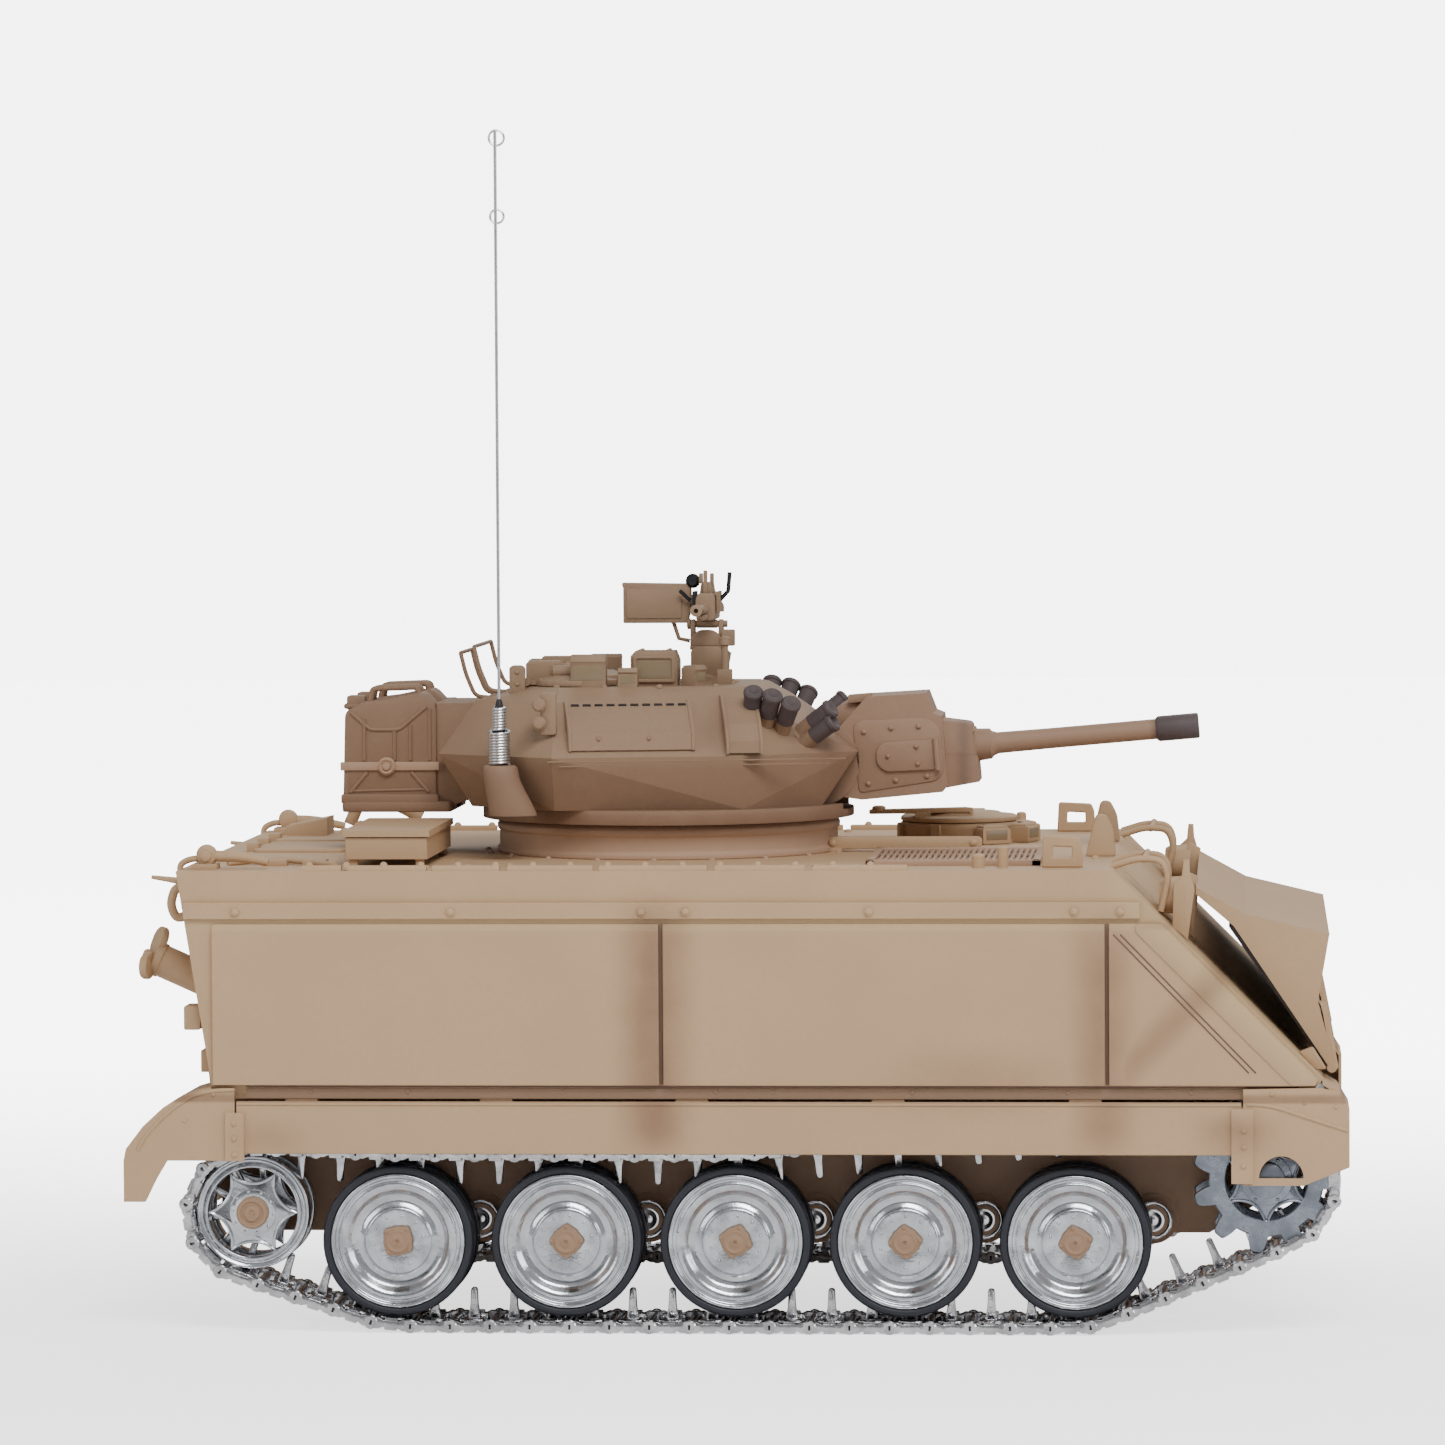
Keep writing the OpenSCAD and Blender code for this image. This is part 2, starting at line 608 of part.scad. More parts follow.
tooth_y = 8;
window_half = 1.5;
bar_end = 2.25;
tab_end = 1.25;

// One link, its pins at x = 0 and x = pitch, its inner face up
module track_link(pitch) {
    half = track_w / 2;
    translate([0, 0, -link_out]) linear_extrude(link_out + link_in) difference() {
        union() {
            translate([bar_end, -half]) square([pitch - 2 * bar_end, track_w]);
            translate([-tab_end, -tooth_y + window_half + 1])
                square([bar_end + tab_end + EPS, 2 * (tooth_y - window_half - 1)]);
            for (y = [-half, tooth_y - window_half - 0.7])
                translate([pitch - bar_end - EPS, y])
                    square([bar_end + tab_end + EPS, half - tooth_y + window_half + 0.7]);
        }
        for (y = [-tooth_y, tooth_y])
            translate([bar_end + 0.8, y - window_half])
                square([pitch - 2 * bar_end - 1.6, 2 * window_half]);
    }
    horn = 1.4;
    translate([0, 0.9, 0]) rotate([90, 0, 0]) linear_extrude(1.8) polygon([
        [pitch / 2 - horn, link_in], [pitch / 2 + horn, link_in],
        [pitch / 2 + 0.5 * horn, horn_h], [pitch / 2 - 0.5 * horn, horn_h]
    ]);
}

module track(side) color("silver") for (i = [0:link_count - 1]) {
    p = on_run(mesh_at + i * link_step);
    q = on_run(mesh_at + (i + 1) * link_step);
    mid = (p + q) / 2;
    translate([mid[0], side * track_y, mid[1]]) rotate([0, -atan2(q[1] - p[1], q[0] - p[0]), 0])
        translate([-track_pitch / 2, 0, 0]) track_link(track_pitch);
}

// Pressed discs with rubber tyres: one turned outline for each wheel of the pair
wheel_each = (wheel_w - horn_gap) / 2;

module half_wheel() {
    rotate_extrude($fn = SMOOTH) polygon([
        [axle_r + RUN_FIT, wheel_each - 3.4], [6.4, wheel_each - 3.4], [7.4, wheel_each - 1.8],
        [disc_r - 4.4, wheel_each - 1.2], [disc_r - 2.4, wheel_each - 3], [disc_r - 1.2, wheel_each - 3],
        [disc_r - 1.2, 0.2], [disc_r, 0.2], [disc_r, wheel_each - 0.3], [disc_r - 1.2, wheel_each - 0.3],
        [disc_r - 1.6, wheel_each - 1.6], [disc_r - 4, wheel_each], [7.8, wheel_each - 0.4],
        [6.8, wheel_each - 1.8], [axle_r + RUN_FIT, wheel_each - 1.8]
    ]);
    rotate_extrude($fn = SMOOTH) polygon([
        [disc_r + BOND, 0.4], [tyre_r - 0.5, 0.4], [tyre_r, 0.9], [tyre_r, wheel_each - 0.6],
        [tyre_r - 0.5, wheel_each - 0.1], [disc_r + BOND, wheel_each - 0.1]
    ]);
}

module road_wheel(i, side) color("silver") on_side(side)
    translate([wheel_x(i), track_y, hub_z]) rotate([-90, 0, 0]) {
        translate([0, 0, horn_gap / 2]) half_wheel();
        translate([0, 0, -horn_gap / 2]) mirror([0, 0, 1]) half_wheel();
        difference() {
            translate([0, 0, -horn_gap / 2 - wheel_each + 3.4])
                cylinder(r = 5, h = horn_gap + 2 * wheel_each - 6.8, $fn = SMOOTH);
            translate([0, 0, -wheel_w]) cylinder(r = axle_r + RUN_FIT, h = 2 * wheel_w, $fn = SMOOTH);
        }
        translate([0, 0, wheel_w / 2 - 1.8]) difference() {
            union() {
                cylinder(r = 4.2, h = 2.6, $fn = SMOOTH);
                for (a = [45:90:315]) rotate([0, 0, a]) translate([3.6, 0, 0])
                    cylinder(r = 1.3, h = 1.6, $fn = SMALL);
            }
            translate([0, 0, -EPS]) cylinder(r = axle_r + RUN_FIT, h = 1.5 + EPS, $fn = SMOOTH);
        }
    }

module swing_arm(i, side) color("dimgray") on_side(side) {
    pivot_x = wheel_x(i) + arm_reach;
    pivot_z = hub_z + pivot_rise;
    translate([0, arm_in + arm_t, 0]) rotate([90, 0, 0]) linear_extrude(arm_t) hull() {
        translate([wheel_x(i), hub_z]) circle(r = 3.4, $fn = SMALL);
        translate([pivot_x, pivot_z]) circle(r = 4.4, $fn = SMALL);
    }
    bar_y(wheel_x(i), hub_z, axle_r, arm_in + arm_t, wheel_out - 0.5);
    bar_y(pivot_x, pivot_z, shaft_r, tub_half - pivot_depth + 0.4, arm_in);
}

idler_windows = 6;

// One wheel of an idler pair, its lens-shaped windows cut between two arcs
module idler_half() difference() {
    rotate_extrude($fn = SMOOTH) polygon([
        [axle_r + RUN_FIT, wheel_each - 3], [idler_r - 2, wheel_each - 3], [idler_r - 2, 0.2],
        [idler_r, 0.2], [idler_r, wheel_each - 1], [idler_r - 1.2, wheel_each - 1],
        [idler_r - 1.2, wheel_each], [idler_r - 2.4, wheel_each], [idler_r - 2.6, wheel_each - 1.2],
        [axle_r + RUN_FIT, wheel_each - 1.2]
    ]);
    for (i = [0:idler_windows - 1]) rotate([0, 0, 30 + 60 * i]) intersection() {
        translate([idler_r + 1.7, 0, -EPS]) cylinder(r = 8, h = wheel_each + 2 * EPS, $fn = SMOOTH);
        translate([0, 0, -EPS]) cylinder(r = idler_r - 3.1, h = wheel_each + 2 * EPS, $fn = SMOOTH);
    }
}

module idler(side) color("silver") on_side(side)
    translate([idler_x, track_y, idler_z]) rotate([-90, 0, 0]) {
        translate([0, 0, horn_gap / 2]) idler_half();
        translate([0, 0, -horn_gap / 2]) mirror([0, 0, 1]) idler_half();
        difference() {
            translate([0, 0, -horn_gap / 2 - wheel_each + 2.6])
                cylinder(r = 4.6, h = horn_gap + 2 * wheel_each - 5.2, $fn = SMOOTH);
            translate([0, 0, -wheel_w]) cylinder(r = axle_r + RUN_FIT, h = 2 * wheel_w, $fn = SMOOTH);
        }
        translate([0, 0, wheel_w / 2 - 1.6]) difference() {
            cylinder(r = 4.2, h = 3.4, $fn = SMOOTH);
            translate([0, 0, -EPS]) cylinder(r = axle_r + RUN_FIT, h = 2.6 + EPS, $fn = SMOOTH);
        }
    }

tooth_half_t = 1.1;
tooth_tip_r = sprocket_pin_r + 0.3;

// One toothed ring of the sprocket: the drum's rim with a tapered tooth between each two pins
module toothed_ring() {
    cylinder(r = drum_r, h = 2 * tooth_half_t, $fn = SMOOTH);
    for (i = [0:sprocket_teeth - 1]) rotate([0, 0, i * 360 / sprocket_teeth])
        linear_extrude(2 * tooth_half_t) polygon([
            [drum_r - 2, -2.1], [drum_r, -1.9], [tooth_tip_r, -0.8], [tooth_tip_r, 0.8],
            [drum_r, 1.9], [drum_r - 2, 2.1]
        ]);
}

module sprocket(side) color("silver") on_side(side)
    translate([sprocket_x, track_y, sprocket_z]) rotate([-90, 0, 0]) {
        for (y = [-tooth_y - tooth_half_t, tooth_y - tooth_half_t]) translate([0, 0, y]) difference() {
            toothed_ring();
            for (i = [0:5]) rotate([0, 0, 60 * i]) translate([drum_r - 5, 0, -EPS])
                cylinder(r = 1.9, h = 2 * tooth_half_t + 2 * EPS, $fn = SMALL);
        }
        translate([0, 0, -tooth_y]) cylinder(r = 5.4, h = 2 * tooth_y, $fn = SMOOTH);
        translate([0, 0, tooth_y]) cylinder(r = 5, h = 3, $fn = SMOOTH);
        translate([0, 0, tub_half - tub_wall - track_y + 0.2])
            cylinder(r = shaft_r, h = track_y - tub_half + tub_wall - tooth_y, $fn = SMOOTH);
    }

// ---- Turret ----

module turret_race() color("dimgray") translate([turret_x, 0, roof_z]) difference() {
    cylinder(r = race_r, h = race_h, $fn = 96);
    translate([0, 0, -EPS]) cylinder(r = race_r - race_wall, h = race_h + 2 * EPS, $fn = 96);
}

// The turret's outline, seen from above: front face, sides, widest point, rear face
function plan(front, front_half, mid_half, half, back, back_half) = [
    [front, -front_half], [front, front_half], [turret_x + 22, mid_half], [turret_x - 25, half],
    [back, back_half], [back, -back_half], [turret_x - 25, -half], [turret_x + 22, -mid_half]
];

base_plan = plan(turret_front - 9, 22, 40, turret_half_w - 7, turret_rear + 8, 24);
knuckle_plan = plan(turret_front, 20, 43, turret_half_w, turret_rear, 28);
shoulder_plan = plan(turret_front - 18.8, 15, 29.5, turret_half_w - 13.5, turret_rear + 9, 23);
top_plan = plan(turret_front - 24.5, 12, 24, turret_half_w - 22, turret_rear + 19, 17);
shoulder_z = turret_top - 3.4;

// A block between two level outlines
module between(low, low_z, high, high_z, inset = 0) hull() {
    translate([0, 0, low_z]) linear_extrude(0.01) offset(delta = -inset) polygon(low);
    translate([0, 0, high_z - 0.01]) linear_extrude(0.01) offset(delta = -inset) polygon(high);
}

// The whole space inside the turret's facets, drawn inset for the cavity
module turret_facets(inset = 0) {
    between(base_plan, base_z, knuckle_plan, knuckle_z, inset);
    between(knuckle_plan, knuckle_z, shoulder_plan, shoulder_z - inset / 2, inset);
    between(shoulder_plan, shoulder_z - inset / 2, top_plan, turret_top - inset, inset);
}

// Side facet: its rear lower corner, its direction and its length
facet_turn = atan2(43 - turret_half_w, 47);
facet_start = [turret_x - 25, turret_half_w];

// A closed bin on the side facet, from x0 to x1 along it; its outline is out from and up the knuckle
module facet_bin(x0, x1, outline) translate([facet_start[0], facet_start[1], knuckle_z])
    rotate([0, 0, facet_turn]) yz(outline, x0, x1);

long_bin = [[-15, 13.4], [-12.2, 13.4], [-1.6, 5.8], [-0.9, 1.8], [-3, 1.2], [-8, 1.2]];
short_bin = [[-16, 14.4], [-12.6, 14.4], [-3.6, 8], [0.4, 3.8], [0.4, 0.8], [-8, 0.8]];

mantlet_air = 0.6;
hatch_r = 10.5;
commander = [turret_x - 22, -17];
gunner = [turret_x - 22, 17];

module turret_shell() color("tan") difference() {
    union() {
        translate([turret_x, 0, ring_z]) cylinder(r = flange_r, h = base_z - ring_z, $fn = 96);
        translate([turret_x, 0, roof_z + 1.5])
            cylinder(r = race_r - race_wall - AIR, h = ring_z - roof_z, $fn = 96);
        turret_facets();
        both_sides() {
            facet_bin(4.6, 36, long_bin);
            facet_bin(44, 53, short_bin);
        }
    }
    turret_facets(turret_wall);
    translate([turret_x, 0, roof_z])
        cylinder(r = race_r - race_wall - 3.4, h = base_z - roof_z + EPS, $fn = 96);
    bar_y(trunnion_x, trunnion_z, rotor_r + mantlet_air,
          -mantlet_half_w - mantlet_air, mantlet_half_w + mantlet_air);
    block([trunnion_x, -mantlet_half_w - mantlet_air, base_z - 1.6],
          [turret_front + 10, mantlet_half_w + mantlet_air, turret_top + 5]);
    for (c = [commander, gunner]) translate([c[0], c[1], turret_top - turret_wall - 4])
        cylinder(r = hatch_r - 2.4, h = turret_wall + 6, $fn = SMOOTH);
}

// A round hatch lid with its hinge at the rear
module hatch(centre) translate([centre[0], centre[1], turret_top + 0.2]) {
    cylinder(r = hatch_r, h = 1.4, $fn = SMOOTH);
    translate([0, 0, 1.4]) cylinder(r1 = hatch_r - 1.4, r2 = hatch_r - 4, h = 1.2, $fn = SMOOTH);
    block([-hatch_r - 1.6, -4, 0.2], [-hatch_r + 2, 4, 1.4]);
    bar_y(-hatch_r - 1.6, 1, 1, -5, 5, SMALL);
}

module commander_hatch() color("tan") {
    hatch(commander);
    translate([commander[0], commander[1], turret_top + 2.8]) {
        for (x = [-4, 4]) translate([x, 0, 0]) cylinder(r = 0.8, h = 2, $fn = SMALL);
        bar_x(0, 2, 0.9, -4.8, 4.8);
    }
}

module gunner_hatch() color("tan") hatch(gunner);

can_t = 10.4;
can_y = -16.2;
can_x = [turret_rear - 22.7, turret_rear - 1.6];
rack_half = 17.2;

module stowage_rack() color("tan") {
    tray_z = base_z - 0.6;
    difference() {
        union() {
            block([turret_rear - 24.3, -rack_half, tray_z], [turret_rear + 5, rack_half, tray_z + 1]);
            block([turret_rear - 1.2, -rack_half, tray_z], [turret_rear - 0.2, rack_half, knuckle_z + 11]);
            for (y = [-rack_half, -0.5, rack_half - 1]) xz([
                [turret_rear - 24.3, tray_z], [turret_rear + 9, tray_z], [turret_rear + 5, knuckle_z],
                [turret_rear - 0.6, knuckle_z + 11], [turret_rear - 4, tray_z + 8],
                [turret_rear - 24.3, tray_z + 8]
            ], y, y + 1);
        }
        turret_facets();
        translate([turret_x, 0, ring_z]) cylinder(r = flange_r, h = base_z - ring_z, $fn = 96);
    }
    for (side = [0, 1]) mirror([0, side, 0]) translate([can_x[0], can_y, tray_z + 1.1])
        rotate([90, 0, 90]) linear_extrude(can_x[1] - can_x[0]) polygon([
            [0, 0], [can_t, 0], [can_t, 26.4], [can_t - 2, 28.4], [2, 28.4], [0, 26.4]
        ]);
}

// A smoke tube, its mouth along the direction given by turn and lift
module smoke_tube(at, turn, lift) translate(at) rotate([0, 90 - lift, turn]) difference() {
    cylinder(r = 2.1, h = 10.6, $fn = SMALL);
    translate([0, 0, 9]) cylinder(r = 1.5, h = 2, $fn = SMALL);
}

module smoke_launchers() color("tan") both_sides() {
    difference() {
        translate([turret_x + 30, 36.4, knuckle_z]) rotate([0, 0, -40]) {
            block([0, -12, 1.2], [15, 0, 5]);
            block([0, -12, 5], [12, -3, 10]);
        }
        turret_facets();
    }
    translate([turret_x, 0, knuckle_z]) {
        smoke_tube([35.4, 33.2, 8], 70, 42);
        smoke_tube([39.6, 30.4, 8], 48, 36);
        smoke_tube([42.2, 27.2, 8.6], 22, 34);
        smoke_tube([44.6, 24.2, 5.2], 12, 28);
    }
}

module turret_sights() color("tan") translate([turret_x, 0, turret_top]) {
    for (y = [-26, 15]) xz([[-7.2, 0], [-4.2, 9.4], [4.5, 9.4], [3.1, 0]], y, y + 11);
    for (y = [-5.5, 1.5], x = [-35, -23]) block([x, y, 0], [x + 6, y + 4, 5.6]);
    block([-11, -4, 0], [-5, 4, 6.4]);
    both_sides() {
        for (y = [9, 15]) translate([-40, y, -0.7]) rotate([0, -14, 0])
            cylinder(r = 0.7, h = 12, $fn = SMALL);
        translate([-40, 0, -0.7]) rotate([0, -14, 0]) bar_y(0, 11.6, 0.7, 8.4, 15.6, SMALL);
    }
}

antenna_x = turret_x - 38.5;
antenna_y = -47;
antenna_foot_z = base_z - 1;

module antenna() color("silver") {
    translate([antenna_x, antenna_y, antenna_foot_z]) {
        cylinder(r1 = 4.6, r2 = 3.9, h = 11.7, $fn = SMOOTH);
        translate([0, 0, 11.7]) cylinder(r = 2.85, h = 10, $fn = SMALL);
        translate([0, 0, 21.7]) cylinder(r = 2.25, h = 6, $fn = SMALL);
        translate([0, 0, 27.7]) cylinder(r = 0.45, h = antenna_h - 27.7, $fn = SMALL);
        for (z = [antenna_h - 18, antenna_h - 1.4]) translate([0, 0, z])
            cylinder(r = 1.9, h = 1.2, $fn = SMALL);
    }
    difference() {
        translate([0, 0, antenna_foot_z - 1.9]) linear_extrude(1.9) hull() {
            translate([antenna_x, antenna_y]) circle(r = 4.8, $fn = SMALL);
            translate([antenna_x + 13, antenna_y + 10]) circle(r = 3, $fn = SMALL);
        }
        translate([turret_x, 0, ring_z - EPS]) cylinder(r = flange_r, h = 2 * base_z, $fn = 96);
    }
}

// ---- Machine gun, laid across the turret at rest ----

pintle = [turret_x + 10, 2];
pintle_h = 9;
cradle_z = turret_top + pintle_h + 6;

module mg_mount() color("tan") translate([pintle[0], pintle[1], turret_top]) {
    translate([0, 0, AIR]) cylinder(r = 5, h = pintle_h - 4, $fn = SMOOTH);
    translate([0, 0, pintle_h - 4 + AIR]) cylinder(r = 2.6, h = 4 - AIR, $fn = SMALL);
    block([-4.4, -3, pintle_h], [4.4, 3, pintle_h + 1.6]);
    for (x = [-4.4, 3]) block([x, -2.4, pintle_h + 1.6], [x + 1.4, 2.4, pintle_h + 8]);
}

module machine_gun() color("dimgray") translate([pintle[0], pintle[1], cradle_z]) {
    bar_x(0, 0, 1.2, -2.6, 2.6);
    block([-2.2, -8, 1], [2.2, 14, 8]);
    block([-1.6, -3, 8], [1.6, 7, 11]);
    block([-0.6, -6, 8], [0.6, -4.6, 14]);
    translate([0, -34, 4.4]) rotate([-90, 0, 0]) cylinder(r = 1.1, h = 26, $fn = SMALL);
    translate([0, -37, 4.4]) rotate([-90, 0, 0]) cylinder(r = 1.5, h = 3, $fn = SMALL);
    block([-1.4, 14, 2], [1.4, 16, 6]);
    block([-21, -1, 0.4], [-4.8, 5, 10.4]);
    block([-5.2, 0, 3.4], [-1.8, 4, 7.6]);
}

// ---- Gun, drawn level from the trunnion and then raised ----

module from_trunnion() translate([trunnion_x, 0, trunnion_z]) rotate([0, -gun_raise, 0]) children();

barrel_z = 0.95;
mantlet_front = 33;
collar_r = 4.2;

module gun_mantlet() color("tan") from_trunnion() difference() {
    union() {
        bar_y(0, 0, rotor_r, -mantlet_half_w, mantlet_half_w);
        xz([[6, -9.2], [11, -10.4], [mantlet_front - 1.4, -10.2], [mantlet_front, -8.8],
            [mantlet_front, 9], [mantlet_front - 2, 10], [29.5, 15.2], [14.5, 15.6], [8, 9.5],
            [4, 6]], -mantlet_half_w + 0.4, mantlet_half_w - 0.4);
        xz([[mantlet_front - EPS, -9.4], [mantlet_front + 8, -8.6], [mantlet_front + 8, -2],
            [mantlet_front - EPS, -1]], -9, 9);
    }
    bar_x(0, barrel_z, collar_r + BOND, mantlet_front - 12, mantlet_front + 9);
}

module gun_barrel() color("tan") from_trunnion() translate([0, 0, barrel_z]) rotate([0, 90, 0])
    rotate_extrude($fn = SMOOTH) polygon([
        [0, mantlet_front - 11.9], [collar_r, mantlet_front - 11.9], [collar_r, mantlet_front + 2],
        [barrel_r + 0.35, mantlet_front + 9], [barrel_r, gun_reach - 12], [barrel_r + 0.55, gun_reach - 11.5],
        [barrel_r + 0.55, gun_reach], [barrel_r - 1, gun_reach], [barrel_r - 1, gun_reach - 20],
        [0, gun_reach - 20]
    ]);

// ---- Which pieces are drawn ----

lower_hull();
upper_hull();
side_panels();
side_skirts();
front_fenders();
rear_fenders();
engine_grille();
driver_cupola();
driver_hatch();
roof_box();
roof_box_lid();
headlamps();
headlamp_lenses();
bow_fittings();
rear_fittings();
hull_bolts();
trim_vane();
rear_ramp();
gearmotors();
battery_pack();
control_board();
speaker();
track(RIGHT);  // track_right
track(LEFT);  // track_left
idler(RIGHT);  // idler_right
idler(LEFT);  // idler_left
sprocket(RIGHT);  // sprocket_right
sprocket(LEFT);  // sprocket_left
for (i = [0:wheel_count - 1]) {
    road_wheel(i, RIGHT);
    road_wheel(i, LEFT);
    swing_arm(i, RIGHT);
    swing_arm(i, LEFT);
}
turret_race();
turret_shell();
stowage_rack();
smoke_launchers();
turret_sights();
antenna();
commander_hatch();
gunner_hatch();
mg_mount();
machine_gun();
gun_mantlet();
gun_barrel();
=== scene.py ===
"""Looks of a remote-control tracked tank with a small turret.

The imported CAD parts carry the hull, turret and hatches. Detailed pieces drawn here stand in for
the running gear, weapons and fittings, and everything gets procedural paint or metal.
"""

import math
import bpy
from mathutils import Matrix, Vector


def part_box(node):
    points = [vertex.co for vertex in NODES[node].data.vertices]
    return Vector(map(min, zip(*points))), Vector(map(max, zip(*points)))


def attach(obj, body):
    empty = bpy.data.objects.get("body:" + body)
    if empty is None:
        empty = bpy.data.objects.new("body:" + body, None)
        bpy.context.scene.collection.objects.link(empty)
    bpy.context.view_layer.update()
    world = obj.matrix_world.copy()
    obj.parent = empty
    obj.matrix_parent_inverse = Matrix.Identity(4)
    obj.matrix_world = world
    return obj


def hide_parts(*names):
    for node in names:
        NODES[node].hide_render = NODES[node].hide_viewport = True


bl_info = {
    "name": "RC tank looks",
    "version": (1, 0, 0),
    "blender": (4, 5, 0),
    "location": "View3D > Sidebar > RC tank",
    "description": "Builds the detailed pieces, paints and stage of a remote-control tank",
    "category": "Object",
}

import bpy
import numpy as np
from mathutils import Matrix, Vector

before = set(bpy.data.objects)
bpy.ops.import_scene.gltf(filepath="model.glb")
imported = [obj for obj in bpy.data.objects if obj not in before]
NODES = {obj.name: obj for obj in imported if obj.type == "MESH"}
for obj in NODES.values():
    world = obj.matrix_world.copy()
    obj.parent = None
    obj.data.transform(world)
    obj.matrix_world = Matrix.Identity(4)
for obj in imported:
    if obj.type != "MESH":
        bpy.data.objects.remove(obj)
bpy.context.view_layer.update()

# Stations of the CAD part, in millimetres
WHEEL_X = [-83.2, -41.5, 0.2, 41.9, 83.6]
HUB_Z = 22.4
TRACK_Y = 70.6
IDLER = (-119.2, 29.3)
SPROCKET = (130.2, 38.1)
TURRET_X = -22.0
ROOF_Z = 114.0
KNUCKLE_Z = 140.0
TURRET_TOP = 156.7
TRUNNION = (16.4, 0.0, 136.7)
GUN_RAISE = 4.86
PINTLE = (-12.0, 2.0)
CRADLE_Z = 171.7
ANTENNA = (-60.5, -47.0, 125.5)

# ---- Surfaces: each is (points, list of face arrays), outward normals, millimetres ----

AXES = {
    "+z": np.array([[1, 0, 0], [0, 1, 0], [0, 0, 1]], float),
    "-z": np.array([[1, 0, 0], [0, -1, 0], [0, 0, -1]], float),
    "+y": np.array([[1, 0, 0], [0, 0, 1], [0, -1, 0]], float),
    "-y": np.array([[1, 0, 0], [0, 0, -1], [0, 1, 0]], float),
    "+x": np.array([[0, 0, 1], [1, 0, 0], [0, 1, 0]], float),
    "-x": np.array([[0, 0, -1], [-1, 0, 0], [0, 1, 0]], float),
}


def quads(rows, cols, closed_rows=False):
    """Faces of a grid whose columns close on themselves: each joins point (i, j) to its neighbours."""
    i, j = np.meshgrid(np.arange(rows - (not closed_rows)), np.arange(cols), indexing="ij")
    i2, j2 = (i + 1) % rows, (j + 1) % cols
    return np.stack([i * cols + j, i * cols + j2, i2 * cols + j2, i2 * cols + j], -1).reshape(-1, 4)


def skin(rings, closed=False):
    """A surface through a stack of closed rings, capped at both ends unless the stack closes."""
    rows, cols = rings.shape[:2]
    faces = [quads(rows, cols, closed)]
    if not closed:
        faces.append(np.arange(cols)[::-1].reshape(1, -1))
        faces.append((np.arange(cols) + (rows - 1) * cols).reshape(1, -1))
    return rings.reshape(-1, 3), faces


def moved(surface, by=(0, 0, 0), turn=None, scale=None):
    """The surface scaled, turned by a 3x3 matrix and then moved."""
    points, faces = surface
    if scale is not None:
        points = points * np.array(scale, float)
    if turn is not None:
        points = points @ np.array(turn, float).T
    return points + np.array(by, float), faces


def mirrored(surface):
    """The surface reflected in the plane Y = 0, its faces reversed so that normals stay outward."""
    points, faces = surface
    return points * np.array([1, -1, 1]), [f[:, ::-1] for f in faces]


def spin(axis, degrees):
    """The rotation matrix about a coordinate axis: cosine and sine in the plane across it."""
    c, s = math.cos(math.radians(degrees)), math.sin(math.radians(degrees))
    if axis == "x":
        return np.array([[1, 0, 0], [0, c, -s], [0, s, c]])
    if axis == "y":
        return np.array([[c, 0, s], [0, 1, 0], [-s, 0, c]])
    return np.array([[c, -s, 0], [s, c, 0], [0, 0, 1]])


def many(surface, offsets, turns=None):
    """Copies of one surface, each turned by its own matrix and put at its own offset."""
    points, faces = surface
    offsets = np.array(offsets, float).reshape(-1, 3)
    base = np.repeat(points[None], len(offsets), 0) if turns is None else np.einsum("kij,nj->kni", turns,
        points)
    shift = np.arange(len(offsets))[:, None, None] * len(points)
    return ((base + offsets[:, None]).reshape(-1, 3),
            [(f[None] + shift).reshape(-1, f.shape[1]) for f in faces])


def rounded(points, radius, steps=4, closed=True):
    """Corners replaced by quadratic Bezier arcs that leave each edge at a distance of radius."""
    p = np.array(points, float)
    back, ahead = np.roll(p, 1, 0) - p, np.roll(p, -1, 0) - p
    lb, la = np.linalg.norm(back, axis=1, keepdims=True), np.linalg.norm(ahead, axis=1, keepdims=True)
    reach = np.minimum(radius, 0.48 * np.minimum(lb, la))
    a, b = p + back / np.maximum(lb, 1e-9) * reach, p + ahead / np.maximum(la, 1e-9) * reach
    t = np.linspace(0, 1, steps + 1)[None, :, None]
    arcs = (1 - t) ** 2 * a[:, None] + 2 * t * (1 - t) * p[:, None] + t**2 * b[:, None]
    if closed:
        return arcs.reshape(-1, p.shape[1])
    return np.vstack([p[:1], arcs[1:-1].reshape(-1, p.shape[1]), p[-1:]])


def lathe(profile, at=(0, 0, 0), axis="-y", sides=48, closed=False, start=0.0):
    """A profile of (radius, height) pairs turned about an axis: (r cos a, r sin a, h)."""
    p = np.array(profile, float)
    a = np.linspace(0, 2 * math.pi, sides, endpoint=False) + math.radians(start)
    rings = np.stack([p[:, :1] * np.cos(a), p[:, :1] * np.sin(a), p[:, 1:] + 0 * a], -1)
    return moved(skin(rings, closed), at, AXES[axis])


def inset(outline, depth):
    """A closed anticlockwise outline with every vertex moved in along its angle bisector."""
    edge = np.roll(outline, -1, 0) - outline
    out = np.stack([edge[:, 1], -edge[:, 0]], 1)
    out = out / np.maximum(np.linalg.norm(out, axis=1, keepdims=True), 1e-9)
    before = np.roll(out, 1, 0)
    dot = np.maximum(1 + (before * out).sum(1, keepdims=True), 0.35)
    return outline - depth * (before + out) / dot


